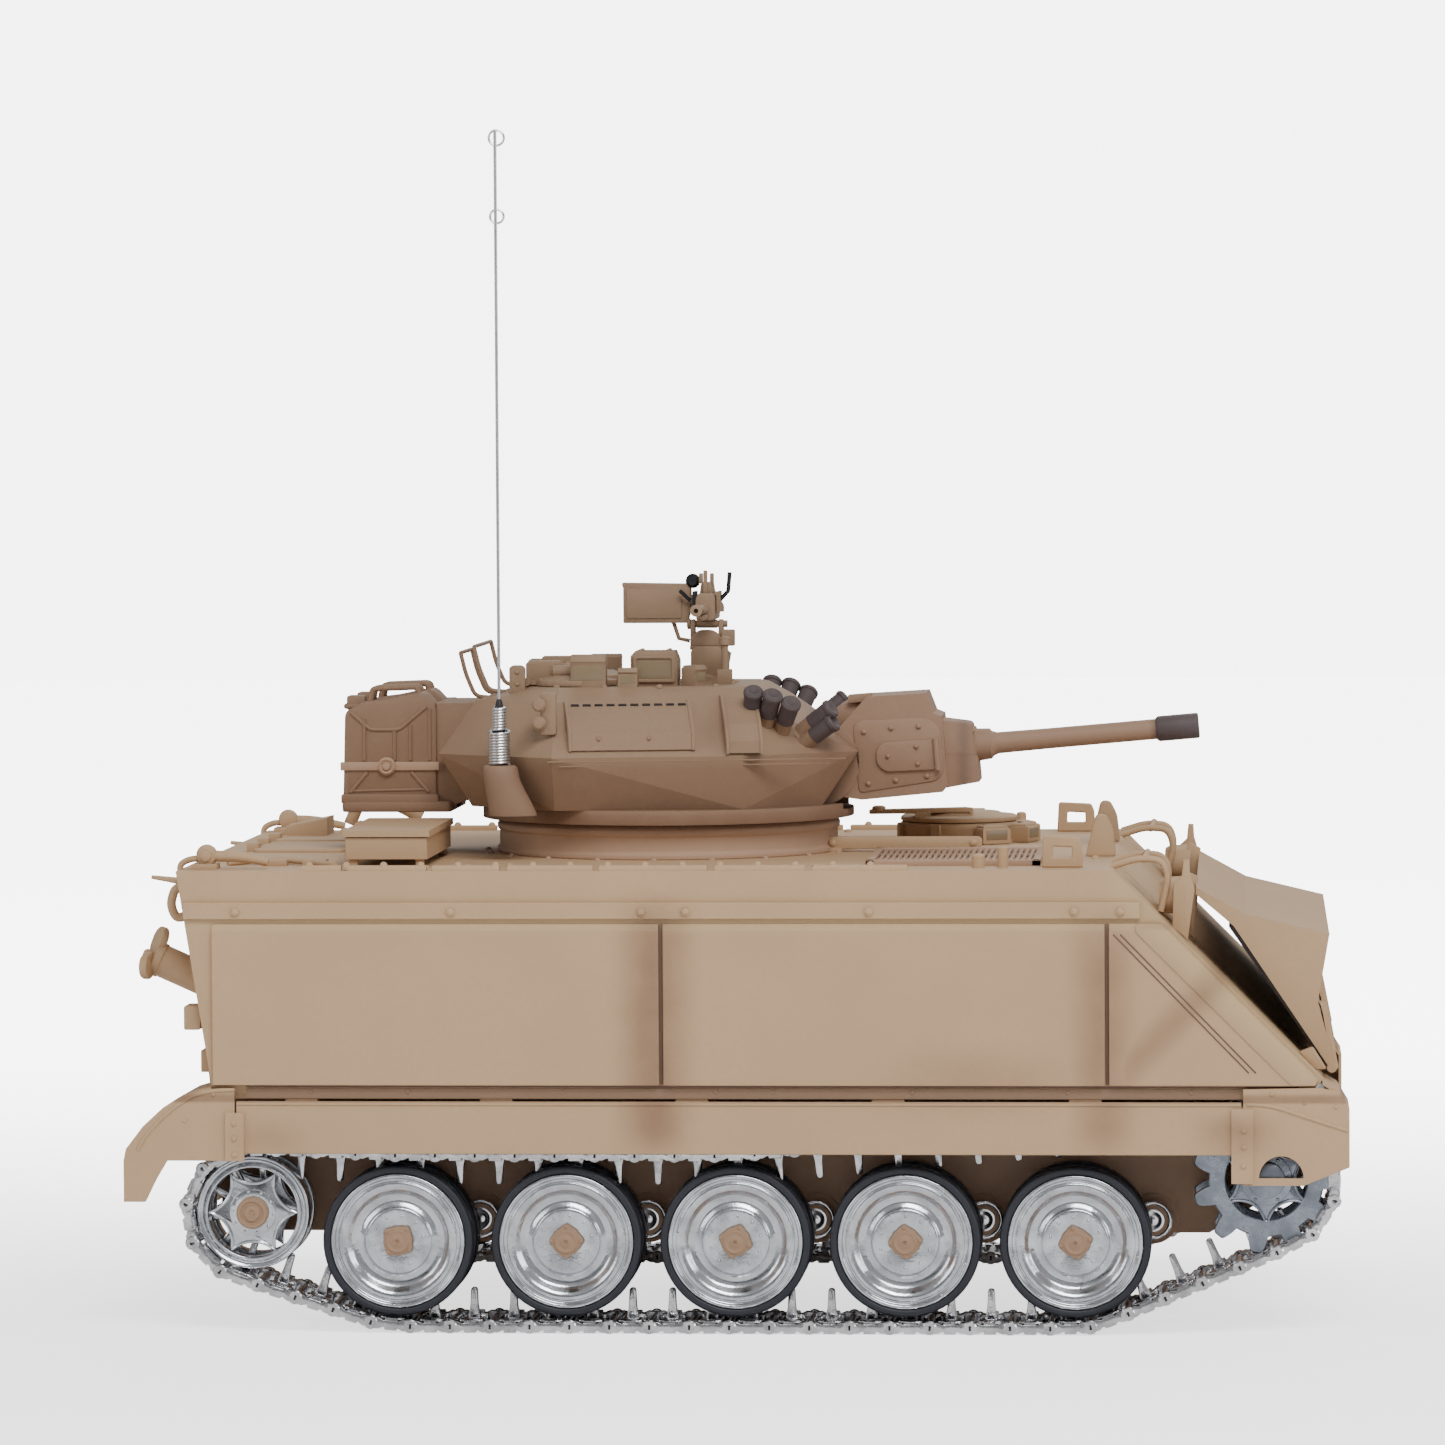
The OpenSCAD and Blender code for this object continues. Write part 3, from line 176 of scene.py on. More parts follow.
def plate(outline, low, high, along="y", edge=0.2):
    """A flat outline carried along an axis, its rims rounded by three steps of a quarter circle.

    The outline is (x, z) along y, (y, z) along x and (x, y) along z.
    """
    p = np.array(outline, float)
    area = (p[:, 0] * np.roll(p[:, 1], -1) - p[:, 1] * np.roll(p[:, 0], -1)).sum()
    p = p if area > 0 else p[::-1]
    e = min(edge, 0.45 * (high - low))
    cut = [(e, 0), (0.3 * e, 0.3 * e), (0, e)]
    stack = [(d, low + h) for d, h in cut] + [(d, high - h) for d, h in cut[::-1]]
    rings = np.stack([np.column_stack([inset(p, d), np.full(len(p), w)]) for d, w in stack])
    points, faces = skin(rings)
    if along == "z":
        return points, faces
    if along == "x":
        return points[:, [2, 0, 1]], faces
    return points[:, [0, 2, 1]], [f[:, ::-1] for f in faces]


def box(low, high, edge=0.2):
    """A box between two corners with rounded rims."""
    (x0, y0, z0), (x1, y1, z1) = low, high
    return plate([(x0, y0), (x1, y0), (x1, y1), (x0, y1)], z0, z1, "z", edge)


def tube(path, radius, sides=12, closed=False, up=(0, 0, 1)):
    """A circle of the given radius carried along a path: centre + r (u cos a + v sin a)."""
    p = np.array(path, float)
    ahead = np.roll(p, -1, 0) - np.roll(p, 1, 0) if closed else np.gradient(p, axis=0)
    t = ahead / np.linalg.norm(ahead, axis=1, keepdims=True)
    ref = np.array(up, float)
    if np.abs(t @ ref).max() > 0.97 * np.linalg.norm(ref):
        ref = np.array([0.31, 0.89, 0.33]) if np.abs(t @ np.array([0.31, 0.89,
            0.33])).max() < 0.97 else np.array([0.9, 0.2, 0.4])
    u = np.cross(ref, t)
    u = u / np.linalg.norm(u, axis=1, keepdims=True)
    v = np.cross(t, u)
    a = np.linspace(0, 2 * math.pi, sides, endpoint=False)
    r = np.broadcast_to(np.array(radius, float), (len(p),))[:, None, None]
    rings = p[:, None] + r * (u[:, None] * np.cos(a)[None, :, None] + v[:, None] * np.sin(a)[None, :, None])
    return skin(rings, closed)


def bend(points, radius=1.5, steps=5):
    """An open path through the given points with its corners rounded."""
    return rounded(points, radius, steps, closed=False)


def stud(r, h):
    """A low dome for a bolt head or rivet: radius r cos t at height h sin t."""
    t = np.linspace(0, math.pi / 2 * 0.9, 5)
    return np.column_stack([r * np.cos(t), h * np.sin(t)])


def studs(centres, axis, r=0.8, h=0.6, sides=14):
    """A row of bolt heads, one at each centre."""
    return many(lathe([(r, -0.3), *stud(r, h)], (0, 0, 0), axis, sides), centres)


def polar_ring(inner, outer, low, high, edge=0.25):
    """A flat ring whose inner and outer radii vary with the angle, closed through its four rims."""
    a = np.linspace(0, 2 * math.pi, len(outer), endpoint=False)
    inner = np.broadcast_to(inner, outer.shape)
    e = edge
    corners = [(inner + e, low), (outer - e, low), (outer, low + e), (outer, high - e),
               (outer - e, high), (inner + e, high), (inner, high - e), (inner, low + e)]
    rings = np.stack([np.stack([r * np.cos(a), r * np.sin(a), np.full(len(a), h)], -1) for r, h in corners])
    return skin(rings, True)


class Shape:
    """Surfaces gathered with their paints, that become one mesh."""

    def __init__(self):
        self.surfaces = []

    def add(self, surface, paint=0, both=False):
        """Adds a surface, and its mirror image on the other side if asked."""
        for points, faces in [surface, mirrored(surface)] if both else [surface]:
            self.surfaces.append((points, faces, paint))
        return self

    def parts(self):
        """Each surface that was added, as (points, faces, paint) with its own numbering."""
        return list(self.surfaces)

    def mesh(self, name):
        """The gathered surfaces as a mesh in metres, smooth up to a set angle."""
        mesh = bpy.data.meshes.new(name)
        counts = [len(points) for points, _, _ in self.surfaces]
        starts = np.cumsum(counts) - counts
        points = np.concatenate([points for points, _, _ in self.surfaces]) / 1000
        groups = [(f + start, paint) for (_, faces, paint),
                  start in zip(self.surfaces, starts) for f in faces]
        sizes = np.concatenate([np.full(len(f), f.shape[1]) for f, _ in groups])
        mesh.vertices.add(len(points))
        mesh.vertices.foreach_set("co", points.astype(np.float32).ravel())
        mesh.loops.add(int(sizes.sum()))
        mesh.loops.foreach_set("vertex_index", np.concatenate([f.ravel() for f,
            _ in groups]).astype(np.int32))
        mesh.polygons.add(len(sizes))
        mesh.polygons.foreach_set("loop_start", (np.cumsum(sizes) - sizes).astype(np.int32))
        mesh.polygons.foreach_set("material_index",
                                  np.concatenate([np.full(len(f), paint) for f,
                                                  paint in groups]).astype(np.int32))
        mesh.update(calc_edges=True)
        mesh.validate()
        mesh.shade_smooth()
        mesh.set_sharp_from_angle(angle=math.radians(40))
        return mesh


def piece(name, shape, body, paints, replaces=()):
    """Turns a shape into an object that rides on a CAD body and may stand for CAD nodes."""
    obj = bpy.data.objects.new(name, shape.mesh(name))
    bpy.context.scene.collection.objects.link(obj)
    for paint in paints:
        obj.data.materials.append(material(paint))
    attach(obj, body)
    if replaces:
        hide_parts(*replaces)
    return obj

# ---- Paints and metals ----


class Field:
    """A number at each point of a surface, built from Math nodes."""

    def __init__(self, tree, socket):
        self.tree, self.socket = tree, socket

    def math(self, operation, *others, clamp=False):
        """The Math node of that operation on this number and others."""
        node = self.tree.nodes.new("ShaderNodeMath")
        node.operation, node.use_clamp = operation, clamp
        for slot, value in zip(node.inputs, (self, *others)):
            if isinstance(value, Field):
                self.tree.links.new(value.socket, slot)
            else:
                slot.default_value = float(value)
        return Field(self.tree, node.outputs[0])

    def __add__(self, other):
        return self.math("ADD", other)

    def __sub__(self, other):
        return self.math("SUBTRACT", other)

    def __mul__(self, other):
        return self.math("MULTIPLY", other)

    def most(self, other):
        """The larger of two numbers."""
        return self.math("MAXIMUM", other)

    def ramp(self, low, high):
        """0 below low and 1 above high, with a smooth step between; low may be the larger."""
        node = self.tree.nodes.new("ShaderNodeMapRange")
        node.interpolation_type = "SMOOTHSTEP"
        self.tree.links.new(self.socket, node.inputs["Value"])
        turned = low > high
        node.inputs["From Min"].default_value, node.inputs["From Max"].default_value = sorted((low, high))
        node.inputs["To Min"].default_value, node.inputs["To Max"].default_value = (1,
            0) if turned else (0, 1)
        return Field(self.tree, node.outputs["Result"])

    def band(self, centre, half):
        """1 at centre, falling smoothly to 0 at a distance of half."""
        return (self - centre).math("ABSOLUTE").ramp(half, 0)


def linear(rgb):
    """A display colour of 0 to 255 as linear light."""
    c = np.array(rgb, float) / 255
    return tuple(np.where(c <= 0.04045, c / 12.92, ((c + 0.055) / 1.055) ** 2.4))


class Paint:
    """A material under construction: a Principled shader, object coordinates in millimetres, noise and
    mixing.
    """

    def __init__(self, name):
        self.material = bpy.data.materials.new(name)
        self.material.use_nodes = True
        self.tree = self.material.node_tree
        self.shader = self.tree.nodes["Principled BSDF"]
        place = self.tree.nodes.new("ShaderNodeTexCoord").outputs["Object"]
        scale = self.tree.nodes.new("ShaderNodeVectorMath")
        scale.operation = "SCALE"
        scale.inputs["Scale"].default_value = 1000
        self.tree.links.new(place, scale.inputs[0])
        self.place = scale.outputs[0]
        parts = self.tree.nodes.new("ShaderNodeSeparateXYZ")
        self.tree.links.new(self.place, parts.inputs[0])
        self.x, self.y, self.z = (Field(self.tree, o) for o in parts.outputs)

    def noise(self, size, detail=3.0, rough=0.5):
        """Noise whose features measure about size millimetres."""
        node = self.tree.nodes.new("ShaderNodeTexNoise")
        node.inputs["Scale"].default_value = 1 / size
        node.inputs["Detail"].default_value = detail
        node.inputs["Roughness"].default_value = rough
        self.tree.links.new(self.place, node.inputs["Vector"])
        return Field(self.tree, node.outputs["Fac"])

    def mix(self, a, b, share):
        """Colour a blended to colour b by a field; either may be a plain colour or a socket."""
        node = self.tree.nodes.new("ShaderNodeMix")
        node.data_type = "RGBA"
        self.tree.links.new(share.socket, node.inputs[0])
        for value, slot in ((a, node.inputs[6]), (b, node.inputs[7])):
            if isinstance(value, tuple):
                slot.default_value = (*value, 1)
            else:
                self.tree.links.new(value, slot)
        return node.outputs[2]

    def set(self, **values):
        """Sets shader inputs by name, underscores for spaces, to numbers, colours, fields or sockets."""
        for key, value in values.items():
            slot = self.shader.inputs[key.replace("_", " ")]
            if isinstance(value, Field):
                self.tree.links.new(value.socket, slot)
            elif isinstance(value, tuple):
                slot.default_value = (*value, 1)
            elif isinstance(value, bpy.types.NodeSocket):
                self.tree.links.new(value, slot)
            else:
                slot.default_value = value
        return self

    def bump(self, height, depth):
        """Raises the surface by a field times depth, in metres."""
        node = self.tree.nodes.new("ShaderNodeBump")
        node.inputs["Distance"].default_value = depth
        node.inputs["Strength"].default_value = 1.0
        self.tree.links.new(height.socket, node.inputs["Height"])
        self.tree.links.new(node.outputs["Normal"], self.shader.inputs["Normal"])
        return self


SAND = linear((192, 160, 124))
SAND_DARK = linear((112, 76, 60))
# The light colour below serves only as the painted highlight on the hull's panel bevels and glacis band.
SAND_HIGHLIGHT = linear((194, 166, 126))


def sand(name, base, dark, light, shade, painted_highlight=None):
    """Matt sand paint: fine mottling, darkened where the shade field says (airbrush at the hull's joints,
    painted shade on the turret), and a painted highlight where the highlight field says.
    """
    p = Paint(name)
    fine = p.noise(1.4, 2.0).ramp(0.35, 0.65)
    broad = p.noise(34, 2.0).ramp(0.35, 0.68)
    colour = p.mix(base, tuple(0.9 * c for c in base), broad * 0.55)
    colour = p.mix(colour, tuple(0.93 * c for c in base), fine * 0.35)
    # Painted highlight: the light colour laid over the paint where the highlight field says.
    if painted_highlight:
        colour = p.mix(colour, light, painted_highlight(p))
    colour = p.mix(colour, dark, (shade(p) * (p.noise(9, 3).ramp(0.1, 0.8) * 0.35 + 0.72)).math("MINIMUM",
        0.95))
    p.set(Base_Color=colour, Roughness=0.62, Specular_IOR_Level=0.35)
    return p.bump(p.noise(0.5, 2.0), 0.00003).material


def hull_shade(p):
    """Airbrushed shadow of the hull: about the panel joints, the straps and the ends of the skirts."""
    tall = p.z.ramp(40, 52)
    joint = (p.x.band(-19, 13) * p.z.ramp(112, 96)) * 0.62
    joint = joint.most(p.x.band(90.5, 11) * p.z.ramp(110, 92) * 0.5)
    joint = joint.most(p.x.band(-115, 15) * p.z.ramp(56, 44) * 0.45)
    joint = joint.most(p.x.band(123, 15) * p.z.ramp(57, 50) * 0.5)
    joint = joint.most(p.x.band(60, 34) * p.z.band(62, 13) * 0.28)
    joint = joint.most((p.x - p.z).band(31, 9) * p.x.ramp(92, 97) * p.z.ramp(101, 97) * 0.4)
    joint = joint.most(p.z.ramp(60, 58.5) * p.z.ramp(56.8, 57.6) * 0.55)
    joint = joint.most(p.z.band(100.5, 1.6) * p.x.band(110, 20) * 0.3)
    return joint * tall


def hull_painted_highlight(p):
    """Painted highlight on the hull: yellowish colour on the bevel over the side panels and on the band
    along the glacis.
    """
    # Painted highlight along the glacis band, and on the top bevel of the side panels.
    line = (p.x + p.z).band(203.5, 8) * p.x.ramp(90, 96) * p.z.ramp(60, 64)
    return (p.z.band(101.0, 3.2) * 0.75).most(line * 0.75)


def turret_shade(p):
    """Painted shade on the turret: darker on its lower, downward-facing facets, and darker too in the fold,
    towards both ends and along the bottom rim.
    """
    # Painted shade: the lower facets darker, as they face away from the light.
    low = p.z.ramp(141, 136) * 0.34
    return low.most(p.z.band(148, 9) * p.x.band(-6, 7) * 0.3).most(p.x.ramp(8, 22) * 0.5).most(
        p.x.ramp(-58, -76) * 0.35).most(p.z.ramp(127.5, 125) * 0.5)


def gun_shade(p):
    """Dark burnt end of the barrel and the edges of the mantlet."""
    return p.x.ramp(100.5, 104.5).most(p.x.band(54, 3) * 0.35).most(p.x.ramp(26, 17) * 0.3)


def flat_shade(share):
    """A shadow of one strength all over."""
    return lambda p: p.x * 0.0 + share


def bright_metal(name, base, rough, dirt, dents=0.00005, size=2.2):
    """Bright cast or pressed metal: cloudy roughness and small dents."""
    p = Paint(name)
    cloud = p.noise(6, 4, 0.6).ramp(0.3, 0.72)
    p.set(Base_Color=p.mix(linear(base), linear(dirt), cloud * 0.45), Metallic=1.0,
          Roughness=cloud * 0.16 + rough)
    return p.bump(p.noise(size, 3.0, 0.6), dents).material


def plain(name, colour, **values):
    """An even finish, its numbers set on the shader."""
    return Paint(name).set(Base_Color=linear(colour), **values).material


def floor_paint(name):
    """Pale floor that glows, to the camera alone, more and more with distance until it meets the white
    surround.
    """
    p = Paint(name)
    p.set(Base_Color=linear((250, 250, 251)), Roughness=0.9, Specular_IOR_Level=0.1,
          Emission_Color=(1.0, 1.0, 1.0))
    seen = Field(p.tree, p.tree.nodes.new("ShaderNodeLightPath").outputs["Is Camera Ray"])
    p.set(Emission_Strength=(p.y.ramp(-100, 700) * FLOOR_GLOW[1] + FLOOR_GLOW[0]) * seen)
    return p.material


FLOOR_GLOW = (1.6, 4.4)
MAKERS = {
    # Hull paint: airbrushed joints, and a painted highlight on the side panels' top bevel and the glacis
    # band.
    "hull_sand": lambda n: sand(n, SAND, SAND_DARK, SAND_HIGHLIGHT, hull_shade, hull_painted_highlight),
    "plain_sand": lambda n: sand(n, SAND, SAND_DARK, SAND_HIGHLIGHT, flat_shade(0.1)),
    # Turret paint: painted shade on the lower facets, the fold and both ends.
    "turret_sand": lambda n: sand(n, linear((146, 120, 96)), SAND_DARK, SAND_HIGHLIGHT, turret_shade),
    "gun_sand": lambda n: sand(n, linear((152, 122, 100)), linear((60, 48, 48)), SAND_HIGHLIGHT, gun_shade),
    "shadow_sand": lambda n: sand(n, linear((184, 152, 126)), SAND_DARK, SAND_HIGHLIGHT, flat_shade(0.2)),
    "cap_sand": lambda n: sand(n, linear((164, 134, 108)), SAND_DARK, SAND_HIGHLIGHT, flat_shade(0.12)),
    "burnt": lambda n: sand(n, linear((92, 80, 80)), linear((50, 42, 44)), SAND_HIGHLIGHT, flat_shade(0.3)),
    "groove": lambda n: plain(n, (112, 88, 74), Roughness=0.8),
    # Near-black painted shadow for gaps, slots and holes: under the trim vane, under the grille slats, in
    # the bin slots and in the track pin holes.
    "dark_painted_shadow": lambda n: plain(n, (44, 38, 38), Roughness=0.85),
    "belt": lambda n: plain(n, (150, 122, 98), Roughness=0.75),
    "rubber": lambda n: plain(n, (34, 36, 44), Roughness=0.5),
    "wheel_metal": lambda n: bright_metal(n, (214, 217, 222), 0.13, (128, 132, 138), 0.00009, 3.0),
    "track_metal": lambda n: bright_metal(n, (224, 224, 227), 0.13, (92, 90, 93), 0.00008, 1.6),
    "gear_metal": lambda n: bright_metal(n, (150, 156, 166), 0.22, (90, 96, 106), 0.00006, 2.0),
    "dark_metal": lambda n: plain(n, (58, 58, 62), Metallic=0.9, Roughness=0.4),
    "chrome": lambda n: plain(n, (225, 225, 228), Metallic=1.0, Roughness=0.12),
    "wire": lambda n: plain(n, (215, 215, 218), Metallic=1.0, Roughness=0.3),
    "glass": lambda n: plain(n, (200, 205, 208), Roughness=0.05, Transmission_Weight=0.6, IOR=1.5),
    "pane": lambda n: plain(n, (134, 116, 90), Roughness=0.25),
    "black_plastic": lambda n: plain(n, (26, 26, 28), Roughness=0.5),
    "board": lambda n: plain(n, (18, 74, 44), Roughness=0.35),
    "battery": lambda n: plain(n, (40, 70, 150), Roughness=0.3, Coat_Weight=0.5),
    "floor": lambda n: floor_paint(n),
    "card": lambda n: plain(n, (12, 12, 13), Roughness=0.9),
}
MADE = {}


def material(name):
    """The named material, made when it is first asked for."""
    if name not in MADE:
        MADE[name] = MAKERS[name](name)
    return MADE[name]


# ---- Measures that a builder may change ----


class RunningGearLook(bpy.types.PropertyGroup):
    """Measures of the wheels, tracks and sprockets."""

    tyre: bpy.props.FloatProperty(name="Tyre radius", description="Outer radius of a road wheel's tyre",
                                  default=0.0186, unit="LENGTH")
    disc: bpy.props.FloatProperty(name="Disc radius", description="Radius of a road wheel's pressed disc",
                                  default=0.01665, unit="LENGTH")
    disc_bolts: bpy.props.IntProperty(name="Disc bolts", description="Bolts round a road wheel's hub",
                                      default=10)
    pitch: bpy.props.FloatProperty(name="Track pitch",
                                   description="Distance between neighbouring track pins", default=0.00983,
                                   unit="LENGTH")
    links: bpy.props.IntProperty(name="Track links", description="Links in one track", default=62)
    teeth: bpy.props.IntProperty(name="Sprocket teeth", description="Teeth on a drive sprocket", default=11)
    windows: bpy.props.IntProperty(name="Windows",
                                   description="Lens-shaped windows in an idler or sprocket", default=6)


class HullLook(bpy.types.PropertyGroup):
    """Measures of the hull's trim."""

    bolt: bpy.props.FloatProperty(name="Bolt head", description="Radius of a bolt head on the hull",
                                  default=0.00105, unit="LENGTH")
    bead: bpy.props.FloatProperty(name="Bead", description="Radius of the bead pressed into a fender",
                                  default=0.00045, unit="LENGTH")
    edge: bpy.props.FloatProperty(name="Edge", description="Rounding of the hull parts' edges",
                                  default=0.0003, unit="LENGTH")


class TurretLook(bpy.types.PropertyGroup):
    """Measures of the turret's trim, weapons and antenna."""

    slots: bpy.props.IntProperty(name="Bin slots", description="Slots along the top of the long side bin",
                                 default=10)
    spring_turns: bpy.props.IntProperty(name="Spring turns", description="Turns of the antenna's spring",
                                        default=20)
    spring_wire: bpy.props.FloatProperty(name="Spring wire",
                                         description="Radius of the antenna spring's wire",
                                         default=0.00036, unit="LENGTH")
    tube: bpy.props.FloatProperty(name="Smoke tube", description="Radius of a smoke tube", default=0.0022,
                                  unit="LENGTH")


def mm(value):
    """A length property in millimetres."""
    return value * 1000


def gear():
    return bpy.context.scene.tank_gear


def hull():
    return bpy.context.scene.tank_hull


def turret():
    return bpy.context.scene.tank_turret


# ---- Running gear ----


def tangent_heading(a, b):
    """Direction of the straight line that leaves circle a and meets circle b, both passed on the same
    side.
    """
    dx, dz = b[0] - a[0], b[1] - a[1]
    return math.atan2(dz, dx) + math.asin((a[2] - b[2]) / math.hypot(dx, dz))


def track_line():
    """The closed line of the track's pins: straight tangents between circles, arcs round them.

    Returns the points and how many of them lie before the arc round the sprocket.
    """
    g = gear()
    run = mm(g.tyre) + 2.1
    pin = g.teeth * mm(g.pitch) / (2 * math.pi)
    top = HUB_Z + mm(g.tyre) + 1.6 + 18.7 * math.sin(math.radians(3.5)) + 0.3
    circles = [(*IDLER, 16.2), (WHEEL_X[0], HUB_Z, run), (WHEEL_X[4], HUB_Z, run), (*SPROCKET, pin),
               (WHEEL_X[2], top, 0), (WHEEL_X[0], top, 0)]
    n = len(circles)
    heads = [tangent_heading(circles[i], circles[(i + 1) % n]) - math.pi / 2 for i in range(n)]
    rings, before = [], 0
    for i, (x, z, r) in enumerate(circles):
        turn = (heads[i] - heads[i - 1] + math.pi) % (2 * math.pi) - math.pi
        steps = math.ceil(abs(math.degrees(turn)) / 5) if r else 1
        a = heads[i - 1] + turn * np.linspace(0, 1, steps + 1) if r else np.zeros(1)
        if i == 3:
            before = sum(len(ring) for ring in rings)
        rings.append(np.column_stack([x + r * np.cos(a), z + r * np.sin(a)]))
    turn = (math.pi / 2 - heads[2] - math.pi / 2 + math.pi) % (2 * math.pi) - math.pi
    return np.vstack(rings), before, turn * pin


def link_places():
    """Where each link stands: its middle and its tilt, evenly spaced along the pin line."""
    line, before, arc = track_line()
    loop = np.vstack([line, line[:1]])
    sums = np.concatenate([[0], np.cumsum(np.linalg.norm(np.diff(loop, axis=0), axis=1))])
    count = gear().links
    step = sums[-1] / count
    at = (sums[before] + arc - step / 2 + step * np.arange(count + 1)) % sums[-1]
    pins = np.column_stack([np.interp(at, sums, loop[:, k]) for k in (0, 1)])
    middle, ahead = (pins[1:] + pins[:-1]) / 2, pins[1:] - pins[:-1]
    return middle, np.arctan2(ahead[:, 1], ahead[:, 0])


def link_shape():
    """One link with its pins at x = 0 and x = pitch: end blocks, pin bosses, web, pads and a guide horn."""
    p = mm(gear().pitch)
    s = Shape()
    for side in (-1, 1):
        y0, y1 = sorted((side * 8.6, side * 11.5))
        s.add(plate([(0.2, -1.35), (1.9, -1.45), (3.0, -0.95), (p - 3.0, -0.95), (p - 1.9, -1.45),
                     (p - 0.2, -1.35),
                     (p - 0.2, 1.2), (p - 1.9, 1.35), (p - 3.0, 0.85), (3.0, 0.85), (1.9, 1.35),
                     (0.2, 1.2)], y0, y1, "y", 0.25))
        s.add(box((p / 2 - 1.5, y0 + 0.2, -1.55), (p / 2 + 1.5, y1 - 0.6, 1.5), 0.25))
        s.add(plate(rounded([(1.9, 4.3), (p - 1.9, 4.3), (p - 1.9, 7.4), (1.9, 7.4)], 0.5, 3), -1.5, 1.25,
                    "z", 0.3) if side > 0
              else plate(rounded([(1.9, -7.4), (p - 1.9, -7.4), (p - 1.9, -4.3), (1.9, -4.3)], 0.5, 3),
                         -1.5, 1.25, "z", 0.3))
        tip = 11.8 * side
        s.add(lathe([(0.62, -1.0), (1.5, -1.0), (1.75, -0.7), (1.75, 0.0), (1.45, 0.25), (0.62, 0.25)],
                    (0, tip - 0.25 * side, 0), "-y" if side < 0 else "+y", 18, closed=True))
        # A near-black tube inside each pin hole: painted shadow in the hole.
        s.add(lathe([(0.6, -0.4), (0.6, -0.15)], (0, tip - 0.25 * side, 0), "-y" if side < 0 else "+y",
                    12), 1)
    s.add(lathe([(1.1, -8.4), (1.1, 8.4)], (0, 0, 0), "+y", 14))
    s.add(box((2.6, -11, -0.9), (4.0, 11, 0.9), 0.2))
    s.add(box((p - 4.0, -11, -0.9), (p - 2.6, 11, 0.9), 0.2))
    s.add(box((2.2, -4.4, -1.6), (p - 2.2, 4.4, -0.4), 0.3))
    horn = rounded([(p / 2 - 1.75, 0.6), (p / 2 + 1.75, 0.6), (p / 2 + 1.0, 3.6), (p / 2 + 0.8, 8.4),
                    (p / 2 - 0.8, 8.4), (p / 2 - 1.0, 3.6)], 0.9, 4)
    s.add(plate(horn, -1.1, 1.1, "y", 0.45))
    return s


def build_tracks():
    """The two tracks: one link repeated along the pin line by a rotation about Y and a shift."""
    middle, tilt = link_places()
    link = link_shape()
    c, sn, zero = np.cos(tilt), np.sin(tilt), 0 * tilt
    turns = np.stack([np.stack([c, zero, -sn], -1), np.stack([zero, zero + 1, zero], -1),
                      np.stack([sn, zero, c], -1)], 1)
    half = np.array([mm(gear().pitch) / 2, 0, 0])
    for side, name in ((-1, "track_right"), (1, "track_left")):
        s = Shape()
        offsets = np.column_stack([middle[:, 0], np.full(len(middle), side * TRACK_Y), middle[:, 1]])
        for points, faces, paint in link.parts():
            s.add(many((points - half, faces), offsets, turns), paint)
        piece(name + "_links", s, "hull", ["track_metal", "dark_painted_shadow"], [name])


def wheel_shape():
    """A pair of pressed discs with rubber tyres about the Z axis: stepped profiles turned about the
    axle.
    """
    g = gear()
    d, t = mm(g.disc), mm(g.tyre)
    s = Shape()
    face = rounded([(2.1, 5.0), (d - 1.4, 5.0), (d - 1.2, 2.7), (d, 2.7), (d, 8.0), (d - 0.35, 8.42),
                    (d - 1.0, 8.35), (d - 1.3, 7.75),
                    (d - 1.9, 7.7), (d - 2.2, 8.05), (d - 3.1, 8.1), (d - 3.9, 7.7), (d - 5.3, 6.4),
                    (d - 6.9, 6.0), (d - 8.2, 6.7),
                    (d - 8.7, 7.25), (d - 9.3, 7.3), (2.1, 7.25)], 0.5, 3)
    tread = rounded([(d + 0.05, 2.75), (t - 0.4, 2.75), (t, 3.3), (t, 7.7), (t - 0.5, 8.35),
                     (d + 0.4, 8.2), (d + 0.05, 8.0)], 0.45, 3)
    for sign in (1, -1):
        for profile, paint in ((face, 0), (tread, 1)):
            p = profile * np.array([1, sign])
            s.add(lathe(p if sign > 0 else p[::-1], (0, 0, 0), "+z", 72, closed=True), paint)
    s.add(lathe([(4.6, -5.2), (4.6, 5.2)], (0, 0, 0), "+z", 32))
    a = np.linspace(0, 2 * math.pi, g.disc_bolts, endpoint=False) + 0.2
    s.add(studs(np.column_stack([6.3 * np.cos(a), 6.3 * np.sin(a), 0 * a + 7.3]), "+z", 0.42, 0.4, 10))
    s.add(studs(np.column_stack([15.7 * np.cos(a), 15.7 * np.sin(a), 0 * a + 8.3]), "+z", 0.3, 0.22, 8))
    a = np.linspace(0, 2 * math.pi, 96, endpoint=False)
    r = 3.75 + 0.3 * np.cos(4 * a) + 0.12 * np.cos(8 * a)
    s.add(plate(np.column_stack([r * np.cos(a), r * np.sin(a)]), 7.0, 8.9, "z", 0.35), 2)
    s.add(lathe([(2.9, 8.7), (2.9, 9.1), (2.6, 9.25), (2.2, 9.1), (1.5, 9.1), (1.3, 9.25), (0.5, 9.3),
                 (0.4, 9.0)], (0, 0, 0), "+z", 32), 2)
    s.add(studs(3.65 * np.column_stack([np.cos(np.radians([0, 90, 180, 270])),
                                        np.sin(np.radians([0, 90, 180, 270])), np.zeros(4)])
                + [0, 0, 8.85], "+z", 0.5, 0.35, 12), 2)
    return s


def on_axle(shape, x, z, side, turned=0.0):
    """The parts of a shape drawn about Z, laid on an axle that points out from the hull on one side."""
    for points, faces, paint in shape.parts():
        surface = moved((points, faces), (0, 0, 0), spin("z", turned))
        surface = moved(surface, (x, -TRACK_Y, z), AXES["-y"])
        yield (mirrored(surface) if side > 0 else surface), paint


